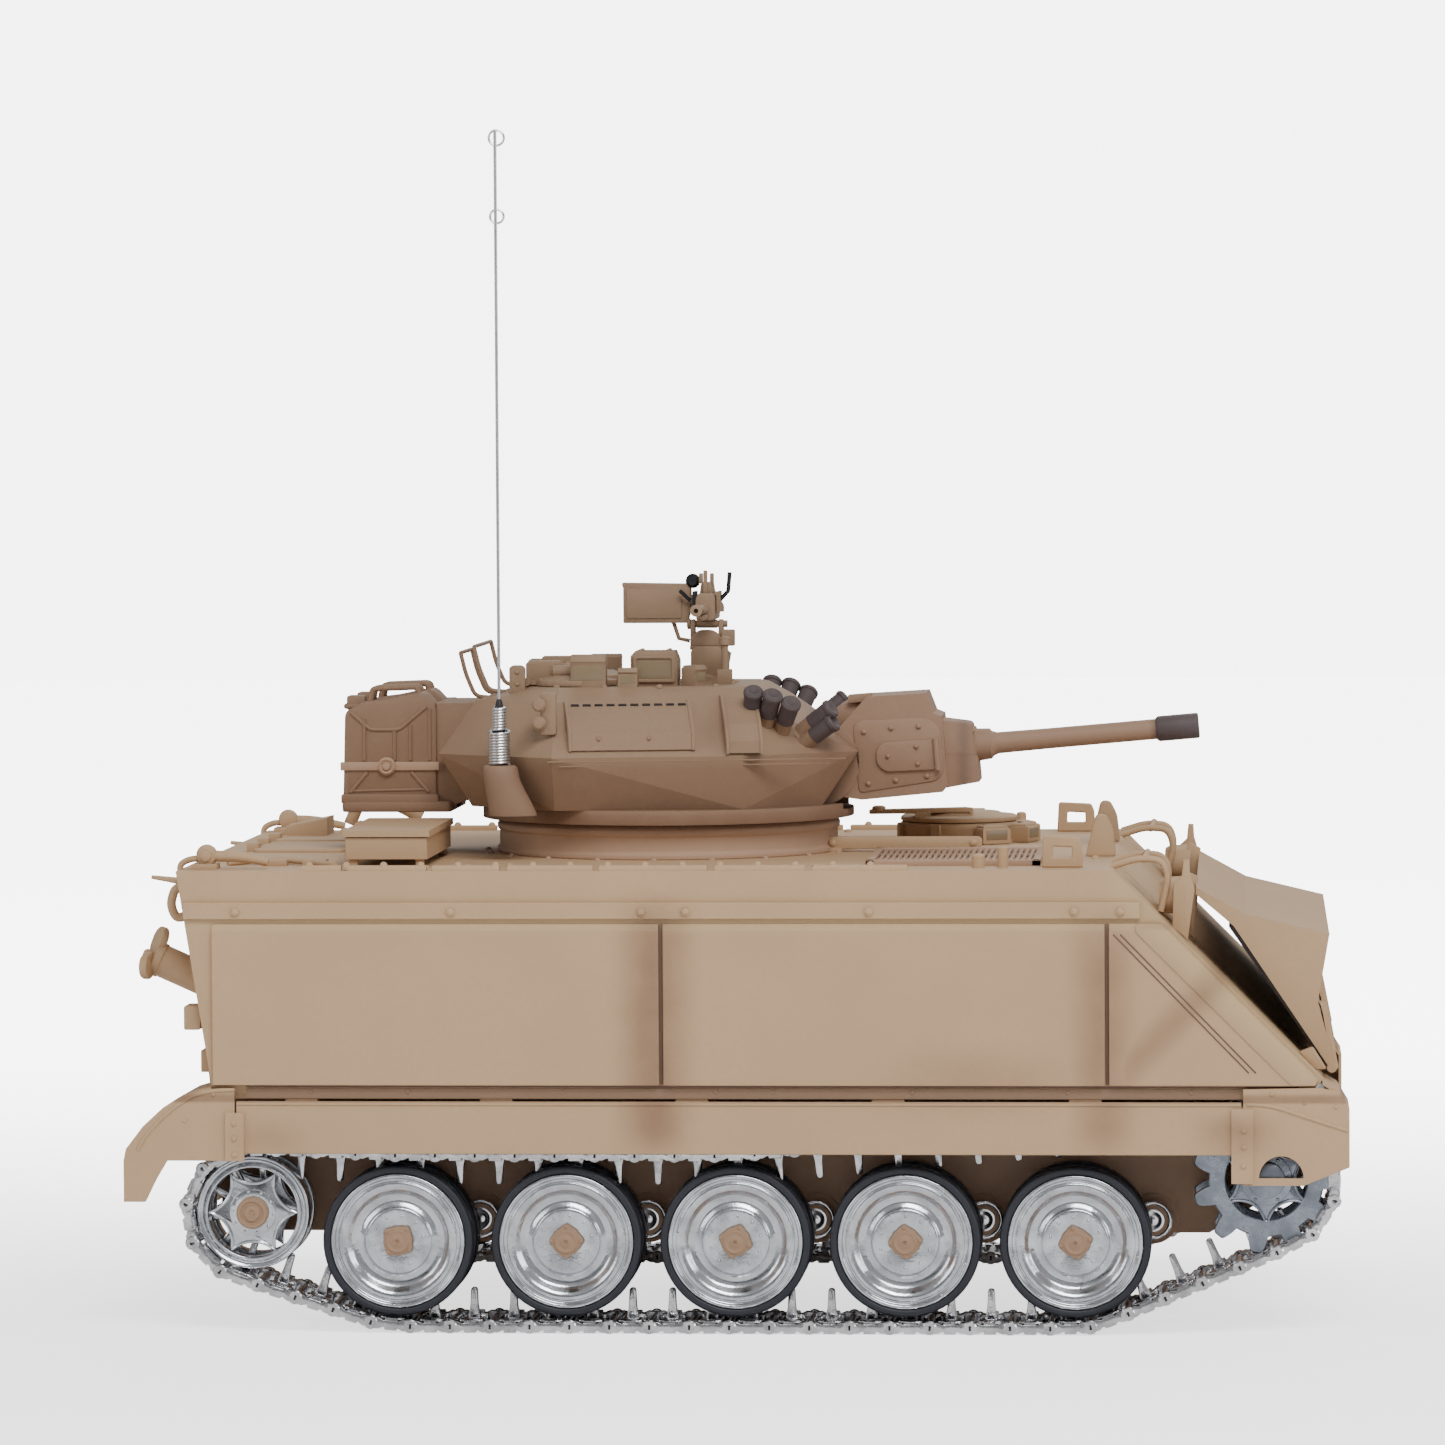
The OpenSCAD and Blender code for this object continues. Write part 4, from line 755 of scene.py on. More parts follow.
def build_wheels():
    """Ten road wheels, each turned by its own angle."""
    wheel = wheel_shape()
    for side, letter in ((-1, "r"), (1, "l")):
        for i, x in enumerate(WHEEL_X):
            s = Shape()
            for surface, paint in on_axle(wheel, x, HUB_Z, side, (-38, 0, 74, 5, 12)[i] + 45 * (i < 0)):
                s.add(surface, paint)
            name = f"road_wheel_{letter}{i + 1}"
            piece(name + "_pressed", s, name, ["wheel_metal", "rubber", "cap_sand"], [name])


def window_edge(a, count, centre, radius):
    """Distance from the axle to the near side of a row of circles, at each angle: d cos p - sqrt(R2 - d2
    sin2 p).
    """
    p = (a + math.pi / count) % (2 * math.pi / count) - math.pi / count
    return centre * np.cos(p) - np.sqrt(np.maximum(radius**2 - (centre * np.sin(p)) ** 2, 0))


def star(count, centre, radius, limit):
    """A star outline with concave sides, between equally spaced circles."""
    a = np.linspace(0, 2 * math.pi, 180, endpoint=False)
    r = np.minimum(window_edge(a, count, centre, radius), limit)
    return np.column_stack([r * np.cos(a), r * np.sin(a)]), a


def build_idlers():
    """Two idler wheels: rims, six-pointed stars with raised edges, hub rings and a round cap."""
    s0 = Shape()
    outline, a = star(gear().windows, 15.3, 8.0, 11.6)
    rim = rounded([(11.1, 2.7), (14.0, 2.7), (14.0, 7.2), (13.6, 7.5), (12.9, 7.0), (12.3, 7.0),
                   (11.9, 8.1), (11.1, 8.1)], 0.35, 3)
    for sign in (1, -1):
        p = rim * np.array([1, sign])
        s0.add(lathe(p if sign > 0 else p[::-1], (0, 0, 0), "+z", 72, closed=True))
        s0.add(plate(outline, *sorted((sign * 5.6, sign * 7.3)), "z", 0.25))
        s0.add(tube(np.column_stack([outline * 0.985, np.full(len(a), sign * 7.3)]), 0.42, 8, True,
                    (0, 0, 1)))
    s0.add(lathe([(4.2, -7.4), (4.2, 7.4)], (0, 0, 0), "+z", 36))
    s0.add(lathe([(5.9, 7.1), (5.7, 7.6), (5.2, 7.75), (4.4, 7.75)], (0, 0, 0), "+z", 40))
    b = np.linspace(0, 2 * math.pi, 10, endpoint=False)
    s0.add(studs(np.column_stack([5.1 * np.cos(b), 5.1 * np.sin(b), 0 * b + 7.75]), "+z", 0.4, 0.4, 10))
    s0.add(lathe([(3.9, 7.3), (3.9, 9.2), (3.6, 9.6), (2.9, 9.6), (2.7, 9.3), (2.1, 9.3), (1.9, 9.7),
                  (0.9, 9.9), (0.6, 9.6)], (0, 0, 0), "+z", 40), 1)
    for side, name in ((-1, "idler_right"), (1, "idler_left")):
        s = Shape()
        for surface, paint in on_axle(s0, *IDLER, side, 30):
            s.add(surface, paint)
        piece(name + "_star", s, name, ["wheel_metal", "cap_sand"], [name])


def tooth_radius(a, teeth, root, tip):
    """Radius of a toothed ring at each angle: a trapezoid wave between root and tip."""
    p = np.abs((a * teeth / (2 * math.pi) + 0.5) % 1 - 0.5)
    return root + (tip - root) * np.clip((0.30 - p) / 0.17, 0, 1) ** 0.8


def build_sprockets():
    """Two drive sprockets: toothed rings, stars with lens-shaped windows, drum and hub."""
    g = gear()
    pin = g.teeth * mm(g.pitch) / (2 * math.pi)
    a = np.linspace(0, 2 * math.pi, g.teeth * 20, endpoint=False)
    outer = tooth_radius(a, g.teeth, pin - 3.2, pin + 0.9)
    outline, b = star(g.windows, 13.6, 6.6, 10.4)
    s0 = Shape()
    for z in (-8, 8):
        s0.add(polar_ring(9.9, outer, z - 1.1, z + 1.1, 0.3))
        s0.add(plate(outline, z - 0.8, z + 0.8, "z", 0.3))
        s0.add(tube(np.column_stack([outline * 0.98, np.full(len(b), z + 0.9 * np.sign(z))]), 0.4, 8, True,
                    (0, 0, 1)))
    s0.add(lathe([(5.2, -8), (5.2, 8)], (0, 0, 0), "+z", 36))
    s0.add(lathe([(6.4, 8.6), (6.2, 9.3), (4.6, 9.5), (4.4, 10.6), (3.6, 11.0), (1.0, 11.1)], (0, 0, 0),
                 "+z", 36))
    s0.add(studs(5.5 * np.column_stack([np.cos(b[::30]), np.sin(b[::30]), 0 * b[::30]]) + [0, 0, 9.3],
                 "+z", 0.5, 0.4, 10))
    s0.add(lathe([(3.0, -14.8), (3.0, -7.8)], (0, 0, 0), "+z", 24))
    for side, name in ((-1, "sprocket_right"), (1, "sprocket_left")):
        s = Shape()
        for surface, paint in on_axle(s0, *SPROCKET, side, 0):
            s.add(surface, paint)
        piece(name + "_toothed", s, name, ["gear_metal"], [name])


def build_arms():
    """Ten trailing arms: a tapered link between two round ends, with an axle and a bright ringed cap."""
    for side, letter in ((-1, "r"), (1, "l")):
        for i, x in enumerate(WHEEL_X):
            s = Shape()
            px, pz = x + 18.7, HUB_Z + 3.6
            a = np.radians(np.linspace(100, 260, 20))
            b = np.radians(np.linspace(-80, 80, 20))
            arm = np.vstack([np.column_stack([x + 3.4 * np.cos(a), HUB_Z + 3.4 * np.sin(a)]),
                             np.column_stack([px + 4.4 * np.cos(b), pz + 4.4 * np.sin(b)])])
            s.add(plate(arm, -61.4, -58.6, "y", 0.4))
            s.add(lathe([(2.0, -3.0), (2.0, 17.0)], (x, -61.4, HUB_Z), "-y", 24), 1)
            s.add(lathe([(3.0, -6.4), (3.0, 1.0)], (px, -58.6, pz), "-y", 24), 1)
            ring = 0.55 * np.column_stack([np.cos(np.linspace(0, 2 * math.pi, 16, endpoint=False)),
                                           np.sin(np.linspace(0, 2 * math.pi, 16, endpoint=False))])
            s.add(lathe(ring + [4.3, 0.1], (px, -61.4, pz), "-y", 40, closed=True), 2)
            s.add(lathe([(2.9, 0), (2.8, 0.35), (2.0, 0.45), (1.7, 0.3), (0.6, 0.55)], (px, -61.4, pz),
                        "-y", 32), 2)
            out = Shape()
            for points, faces, paint in s.parts():
                out.add(mirrored((points, faces)) if side > 0 else (points, faces), paint)
            name = f"swing_arm_{letter}{i + 1}"
            piece(name + "_forged", out, name, ["shadow_sand", "dark_metal", "chrome"], [name])

# ---- Hull ----


def line_tube(points, y, r, sides=8, radius=2.0):
    """A thin bar along an (x, z) path in the plane Y = y."""
    p = np.array(points, float)
    return tube(bend(np.column_stack([p[:, 0], np.full(len(p), y), p[:, 1]]), radius), r, sides, False,
                (0, 1, 0))


def build_hull_trim():
    """Trim on both sides of the hull: bolts, fender beads, strap bolts, roof-edge strips, glacis band and
    grooves.
    """
    h = hull()
    r = mm(h.bolt)
    s = Shape()
    for x in (-122.2, -69.0, -22.1, -11.3, 33.6, 83.7, 94.9):
        s.add(lathe([(r + 0.35, -0.3), (r + 0.35, 0.15), (r + 0.2, 0.25), *stud(r, 0.85) + [0, 0.2]],
                    (x, -83.8, 104.0), "-y", 18), 0, True)
    xs = np.array([-104.0, -80, -42, -4, 10, 44, 82, 112])
    s.add(studs(np.column_stack([xs, 0 * xs - 81.8, 0 * xs + 59.6]), "-y", 0.8, 0.5), 1, True)
    s.add(box((-120, -82.05, 57.9), (138, -81.7, 60.5), 0.1), 1, True)
    s.add(box((-120, -82.2, 60.7), (138, -81.7, 61.6), 0.1), 2, True)
    for x, zs in ((124.7, (50.5, 46.6, 41.9)), (-122.8, (52.0, 48.2, 44.2))):
        s.add(studs([(x, -84.8, z) for z in zs], "-y", 0.72, 0.5), 0, True)
    s.add(line_tube([(-146.8, 45.4), (-144.6, 49.2), (-140.5, 53.4), (-136.4, 56.8), (-132.4, 59.0),
                     (-127.0, 60.2), (-122.8, 60.2)], -84.0, mm(h.bead)), 0, True)
    s.add(line_tube([(125.4, 57.0), (130.2, 56.8), (134.3, 55.8), (139.2, 54.1), (145.6, 52.0),
                     (150.0, 50.6)], -84.0, mm(h.bead)), 0, True)
    s.add(box((-122.2, -84.3, 56.5), (124.1, -83.9, 57.1), 0.12), 0, True)
    s.add(plate(rounded([(98.6, 98.9), (136.2, 61.5), (142.2, 61.5), (142.6, 63.2), (104.8, 101.0),
                         (98.6, 101.0)], 0.8, 3), -84.4, -83.6, "y", 0.3), 0, True)
    for dx in (0, 1.7):
        s.add(line_tube([(93.2 + dx, 98.4), (126.0 + dx, 64.6)], -84.0, 0.2, 6), 2, True)
    for x0, x1 in ((-106, -96), (-94.5, -75), (-73.5, -57), (-55, -34), (-32.5, -6), (-4, 18), (20, 43)):
        s.add(box((x0, -82.5, 113.8), (x1, -80.4, 115.3), 0.3), 0, True)
    xs = np.arange(-104, 43, 9.2)
    s.add(studs(np.column_stack([xs, 0 * xs - 81.4, 0 * xs + 115.2]), "+z", 1.0, 1.0, 14), 0, True)
    s.add(studs([(x, -84.0, z) for x, z in ((131.5, 59.4), (139.5, 57.4), (147.0, 56.4), (-128, 59.0),
                                            (-135, 52.5))], "-y", 0.6, 0.4, 12), 0, True)
    for x in (-17.4, 91.6):
        s.add(box((x - 0.32, -83.0, 61.6), (x + 0.32, -82.6, 101), 0.05), 2, True)
    piece("hull_trim", s, "hull", ["hull_sand", "belt", "groove"], ["hull_bolts"])


def window(outline, width, low, high, along="y", edge=0.3):
    """A flat frame: the outline and its inset by width, carried along an axis and closed round all four
    rims.
    """
    outer = rounded(outline, 0.7, 3)
    inner = rounded(inset(np.array(outline, float), width), 0.5, 3)
    stack = [(outer, low + edge), (outer, high - edge), (inset(outer, edge), high),
             (inset(inner, -edge), high),
             (inner, high - edge), (inner, low + edge), (inset(inner, -edge), low),
             (inset(outer, edge), low)]
    points, faces = skin(np.stack([np.column_stack([line, np.full(len(line), w)]) for line, w in stack]),
                         True)
    if along == "z":
        return points, faces
    return points[:, [0, 2, 1]], [f[:, ::-1] for f in faces]


def build_bow():
    """Bow fittings: lamp guards of bent flat bar, posts, tow loops, lifting lugs and the long latch bar."""
    s = Shape()
    for y in (-71.5, -52.5):
        guard = bend([(92.6, y, 114.2), (99, y, 116.2), (105.0, y, 115.8), (106.6, y, 111.5),
                      (104.6, y, 103.2)], 2.4)
        s.add(tube(guard, 0.85, 10, False, (0, 1, 0)), 0, True)
    s.add(tube(bend([(100.5, -71.5, 115.8), (101.5, -62, 117.4), (100.5, -52.5, 115.8)], 3), 0.8, 10,
               False, (1, 0, 0)), 0, True)
    s.add(plate([(107.4, 99.4), (111.2, 96.4), (112.9, 108.6), (111.8, 112.6), (111.6, 115.9),
                 (110.2, 115.9), (109.8, 112.0), (107.8, 110.2)], -73.6, -71.8, "y", 0.3), 0, True)
    s.add(plate([(107.6, 100.0), (112.6, 95.2), (113.6, 110.6), (110.4, 112.2)], -56, -54.6, "y", 0.3), 0,
          True)
    for y in (57, 67):
        s.add(lathe([(3.4, -4.6), (4.1, -3.4), (4.35, 1.6), (4.35, 2.1), (3.7, 2.1), (3.5, 1.2),
                     (0.5, 0.9)], (108.8, -y, 106.5), "+x", 28), 0, True)
        s.add(lathe([(3.5, 1.2), (3.0, 1.75), (1.6, 2.1), (0.3, 2.2)], (108.8, -y, 106.5), "+x", 28), 1,
              True)
    for y in (-31, 28):
        s.add(plate(rounded([(85.3, ROOF_Z), (93.0, ROOF_Z), (92.2, 121.0), (90.4, 124.6), (87.9, 124.6)],
                            1.1,
                            4), y, y + 3, "y", 0.4))
    for y in (-73, 71):
        s.add(window([(75.5, ROOF_Z), (85.6, ROOF_Z), (85.4, 119.4), (84.6, 121.4), (75.9, 121.8)], 2.5, y,
                     y + 2))
        s.add(lathe([(1.6, 0), (1.6, 2.8), (1.1, 3.3), (0.5, 3.4)], (60, y + 1, ROOF_Z), "+z", 20))
        s.add(lathe([(1.3, 0), (1.3, 4.8), (0.8, 5.2)], (66, y + 1, ROOF_Z), "+z", 20))
    s.add(plate(rounded([(16.6, 114.8), (58.7, 114.8), (58.7, 117.9), (16.6, 117.9)], 1.5, 5), -12, -10.4,
                "y", 0.3))
    s.add(studs([(20.6, -12, 116.3), (56.4, -12, 116.3)], "-y", 1.0, 0.7))
    for x in (20, 52):
        s.add(box((x, -12, 113.9), (x + 3, -10.2, 115.2), 0.2))
    for y in (-60, 60):
        loop = bend([(140.5, y - 4, 68.5), (143.4, y - 4, 69.4), (144.6, y, 68.6), (143.4, y + 4, 69.4),
                     (140.5, y + 4, 68.5)], 2.5)
        s.add(tube(loop, 0.8, 10, False, (0, 0, 1)))
    for y in (-74.8, 72.2):
        s.add(plate(rounded([(138.2, 68.9), (142.4, 64.6), (145.0, 64.7), (141.6, 70.2)], 0.7, 3), y,
                    y + 2.6, "y", 0.3))
    piece("bow_cast_fittings", s, "hull", ["plain_sand", "glass"],
          ["bow_fittings", "headlamps", "headlamp_lenses"])


def build_rear():
    """Rear fittings: tilted pipes with lobed caps, tow hooks, knobbed rods, lamps and steps."""
    s = Shape()
    tilt = spin("y", 24)
    for side in (-1, 1):
        pipe = Shape()
        pipe.add(lathe([(4.1, -3), (4.1, 12.4), (4.4, 12.7), (4.4, 14.4), (2.6, 15.2)], (0, 0, 0), "-x",
                       36))
        for a in (90, 210, 330):
            lobe = plate(rounded([(0.5, -2.4), (6.2, -3.4), (8.6, 0), (6.2, 3.4), (0.5, 2.4)], 2.2, 4),
                         -1.1, 1.1, "z", 0.6)
            lobe = moved(lobe, (-15.2, 0, 0), AXES["-x"] @ spin("z", a) @ spin("x", 28))
            pipe.add(lobe)
        pipe.add(lathe([(1.3, 14), (1.3, 17.2), (0.7, 17.8)], (0, 0, 0), "-x", 18))
        for points, faces, _ in pipe.parts():
            s.add(moved((points, faces), (-132.4, side * 60, 85.0), tilt))
        hook = bend([(-136.4, side * 68, 109.5), (-139.4, side * 68, 108.8), (-140.6, side * 68, 104.6),
                     (-139.0, side * 68, 101.2), (-136.2, side * 68, 102.2)], 2.2)
        s.add(tube(hook, 1.15, 12, False, (0, 1, 0)))
        s.add(plate(rounded([(-136.2, 101), (-134.8, 101), (-136.4, 112), (-137.4, 112)], 0.4, 2),
                    side * 68 - 3, side * 68 + 3, "y", 0.3))
        s.add(tube([(-138, side * 68, 110.6), (-145.2, side * 68, 111.6)], [0.9, 0.5], 10))
        y = side * 74
        s.add(lathe([(1.0, -2.2), (2.3, -1.6), (2.7, 0), (2.3, 1.4), (1.4, 1.7), (1.3, 2.4), (0.4, 2.6)],
                    (-130.4, y, 117.4), "-y" if side < 0 else "+y", 28))
        s.add(tube(bend([(-129, y, 117.2), (-122, y, 117.0), (-115.2, y, 115.6)], 4),
                   [1.4, 1.4, 1.35, 1.3, 1.25, 1.2, 1.1, 1.0], 14))
        s.add(box((-134, y - 3, 113.8), (-127.6, y + 3, 115.4), 0.3))
        s.add(tube(bend([(-136.9, y, 112), (-137.3, y, 115.2), (-134.2, y, 116.6), (-131.5, y, 116.4)],
                        2.0), 0.8, 10, False, (0, 1, 0)))
        s.add(box((-135.8, side * 75 - 4, 74.5), (-131.8, side * 75 + 4, 80.5), 0.4))
        s.add(box((-131.8, side * 75 - 3, 64), (-128.6, side * 75 + 3, 69.5), 0.3))
    s.add(tube(bend([(-112, 60, 117), (-109, 60, 124), (-104, 60, 123.6), (-98, 60, 121.6),
                     (-93, 60, 118.6)], 4), 1.7, 14, False, (0, 1, 0)))
    s.add(plate([(-127.5, ROOF_Z), (-116, ROOF_Z), (-116, 119.6), (-127, 117.4)], 44, 58, "y", 0.3))
    s.add(tube(bend([(-127, -62, 114.6), (-118, -56, 115.2), (-108, -60, 114.9), (-99, -72, 114.8)], 5),
               0.75, 10))
    for x in (-118, -108):
        s.add(box((x, -64, 113.9), (x + 6, -60, 115.6), 0.3))
    piece("rear_cast_fittings", s, "hull", ["plain_sand"], ["rear_fittings"])


def build_roof():
    """Roof details: grille slats, driver's hatch rim, periscopes, latch lever, race band and roof bolts."""
    s = Shape()
    x0, x1, y0, y1 = 32.0, 75.0, -66.0, -16.0
    for low, high in (((x0, y0, 113.8), (x1, y0 + 2, 115.5)), ((x0, y1 - 2, 113.8), (x1, y1, 115.5)),
                      ((x0, y0, 113.8), (x0 + 2, y1, 115.5)), ((x1 - 2, y0, 113.8), (x1, y1, 115.5))):
        s.add(box(low, high, 0.3))
    n = 26
    xs = x0 + 3 + np.arange(n) * (x1 - x0 - 6) / (n - 1)
    s.add(many(box((-0.42, y0 + 1.5, 113.7), (0.42, y1 - 1.5, 115.1), 0.15),
               np.column_stack([xs, 0 * xs, 0 * xs])))
    for y in (-50, -33):
        s.add(box((x0 + 1, y, 113.6), (x1 - 1, y + 1.4, 114.9), 0.2))
    # A near-black sheet under the slats: painted shadow in the gaps between them.
    s.add(box((x0 + 1.8, y0 + 1.8, 112.4), (x1 - 1.8, y1 - 1.8, 113.2), 0.1), 1)
    piece("engine_grille_slats", s, "hull", ["shadow_sand", "dark_painted_shadow"], ["engine_grille"])

    s = Shape()
    c = (51, 35, ROOF_Z)
    s.add(lathe(rounded([(12.6, -0.2), (15.5, -0.2), (15.5, 4.2), (15.0, 5.2), (12.6, 5.2)], 0.5, 3), c,
                "+z", 64, closed=True))
    s.add(lathe(rounded([(15.3, -0.2), (17.0, -0.2), (17.0, 0.8), (15.3, 0.8)], 0.3, 3), c, "+z", 64,
                closed=True))
    for a in (-60, -20, 20):
        s.add(moved(box((15.9, -4, 0), (20.9, 4, 4.2), 0.5), c, spin("z", a)))
        s.add(moved(box((16.2, -3.4, 3.6), (20.0, 3.4, 4.8), 0.4), c, spin("z", a)))
        s.add(moved(box((20.7, -3.0, 1.2), (21.05, 3.0, 3.6), 0.1), c, spin("z", a)), 1)
    for x in (-6, 4):
        s.add(box((51 + x, 50.9, ROOF_Z), (53 + x, 54.1, 118.6), 0.3))
    for a in (200, 250, 300):
        s.add(moved(box((15.2, -1.2, 0), (16.6, 1.2, 5.0), 0.3), c, spin("z", a)))
    piece("driver_ring", s, "hull", ["plain_sand", "pane"], ["driver_cupola"])

    s = Shape()
    s.add(lathe([(1.0, 0.0), (15.1, 0.0), (15.3, 0.4), (15.2, 1.0), (14.6, 1.4), (11.6, 1.6), (10.4, 2.2),
                 (1.0, 2.3)], (51, 35, 119.4), "+z", 64))
    s.add(box((46, 48.5, 119.5), (56, 53, 120.6), 0.3))
    s.add(lathe([(1.2, -6), (1.2, 6)], (51, 52.9, 120.2), "+x", 20))
    s.add(plate(rounded([(28, 121.4), (54, 121.8), (54, 119.9), (55, 119.9), (55, 123.0), (53, 123.2),
                         (28, 122.6)], 0.4, 3), 24.6, 27.6, "y", 0.3))
    s.add(box((40, 24, 120.4), (44, 31, 122.0), 0.3))
    s.add(lathe([(1.8, 0), (1.8, 1.0), (1.2, 1.4)], (30.5, 26.1, 122.2), "+z", 20))
    piece("driver_hatch_lid", s, "driver_hatch", ["plain_sand"], ["driver_hatch"])

    s = Shape()
    s.add(lathe(rounded([(38.6, 0), (43.9, 0), (43.9, 1.3), (43.3, 1.8), (43.3, 5.6), (43.9, 6.1),
                         (43.9, 7.4), (42.6, 8.6), (38.6, 8.6)], 0.4, 3),
                (TURRET_X, 0, ROOF_Z), "+z", 128, closed=True))
    a = np.linspace(0, 2 * math.pi, 20, endpoint=False)
    s.add(studs(np.column_stack([TURRET_X + 46.5 * np.cos(a), 46.5 * np.sin(a), 0 * a + ROOF_Z]), "+z", 0.8,
                0.7))
    piece("turret_race_ring", s, "hull", ["shadow_sand"], ["turret_race"])

    s = Shape()
    s.add(studs([(-95.999, -74, ROOF_Z), (-86, -74, ROOF_Z), (-76, -74, ROOF_Z), (-66, -70, ROOF_Z),
                 (-56, -66, ROOF_Z),
                 (-96, 74, ROOF_Z), (-66, 72, ROOF_Z), (-30, 76, ROOF_Z),
                 (0, 76, ROOF_Z), (20, 70, ROOF_Z), (20, -70, ROOF_Z), (0, -76, ROOF_Z), (-30, -76, ROOF_Z),
                 (88, -40, ROOF_Z), (88, 0, ROOF_Z), (88, 60, ROOF_Z)], "+z", 1.1, 0.9), 0)
    for y0, y1 in ((28, 62), (-12, 20)):
        s.add(plate(rounded([(-128, y0), (-104, y0), (-104, y1), (-128, y1)], 2.5, 4), 113.8, 114.9, "z",
                    0.4))
        s.add(box((-130, y0 + 4, 113.9), (-127, y0 + 9, 116.2), 0.3))
        s.add(box((-130, y1 - 9, 113.9), (-127, y1 - 4, 116.2), 0.3))
    piece("roof_plates", s, "hull", ["plain_sand"])


def build_rear_door():
    """The door pressed into the rear ramp, with hinges, a handle and stiffening ribs."""
    s = Shape()
    tilt, foot = spin("y", -5.9), np.array([-133.3, 0, 56])
    for low, high in (((-1.0, -24, 4), (0.6, 24, 44)), ((-1.6, -24, 20), (0.2, -19, 24)),
                      ((-1.6, -24, 36), (0.2, -19, 40)),
                      ((-2.2, 16, 22), (0.2, 18, 30)), ((-1.0, -48, 6), (0.4, -30, 9)),
                      ((-1.0, 30, 6), (0.4, 48, 9)),
                      ((-1.0, -48, 38), (0.4, -30, 41)), ((-1.0, 30, 38), (0.4, 48, 41))):
        s.add(moved(box(low, high, 0.4), foot, tilt))
    s.add(moved(lathe([(3.0, 0), (3.0, 0.8), (2.4, 1.2), (0.5, 1.3)], (-0.9, 0, 34), "-x", 28), foot, tilt))
    piece("rear_door", s, "rear_ramp", ["plain_sand"])


def build_vane_back():
    """A dark sheet of painted shadow in the gap under the trim vane, and the two hinge straps."""
    s = Shape()
    # Painted shadow: a near-black sheet that fills the gap under the vane.
    s.add(plate([(144.4, 65.6), (145.4, 66.2), (122.4, 100.0), (121.2, 99.2)], -69.6, 69.6, "y", 0.2))
    for y in (-64, -20, 20, 64):
        s.add(plate(rounded([(146.3, 63.2), (148.0, 64.2), (144.9, 80.0), (143.0, 80.6), (143.8, 78)], 0.5,
                            3), y - 3, y + 3, "y", 0.3), 1)
    for y in (-60, 60):
        s.add(tube([(141, y, 74), (124, y, 99.5)], 0.9, 10), 0)
    piece("trim_vane_painted_shadow", s, "trim_vane", ["dark_painted_shadow", "plain_sand"])

# ---- Turret and weapons ----

FACET = np.array([[0.982, 0.188, 0], [0.188, -0.982, 0], [0, 0, 1.0]])


def on_facet(s, surface, paint=0):
    """Puts a surface drawn as (along, out, up) from the knuckle's rear corner on both side facets.

    The frame has its out axis to the right, so faces are reversed there and the mirror image restores them.
    """
    points, faces = surface
    placed = (points @ FACET + [-47, -52, KNUCKLE_Z], [f[:, ::-1] for f in faces])
    s.add(placed, paint, True)


def bin_wall(outline, u0, u1, edge=0.3):
    """An (out, up) outline carried along the facet."""
    return plate(outline, u0, u1, "x", edge)


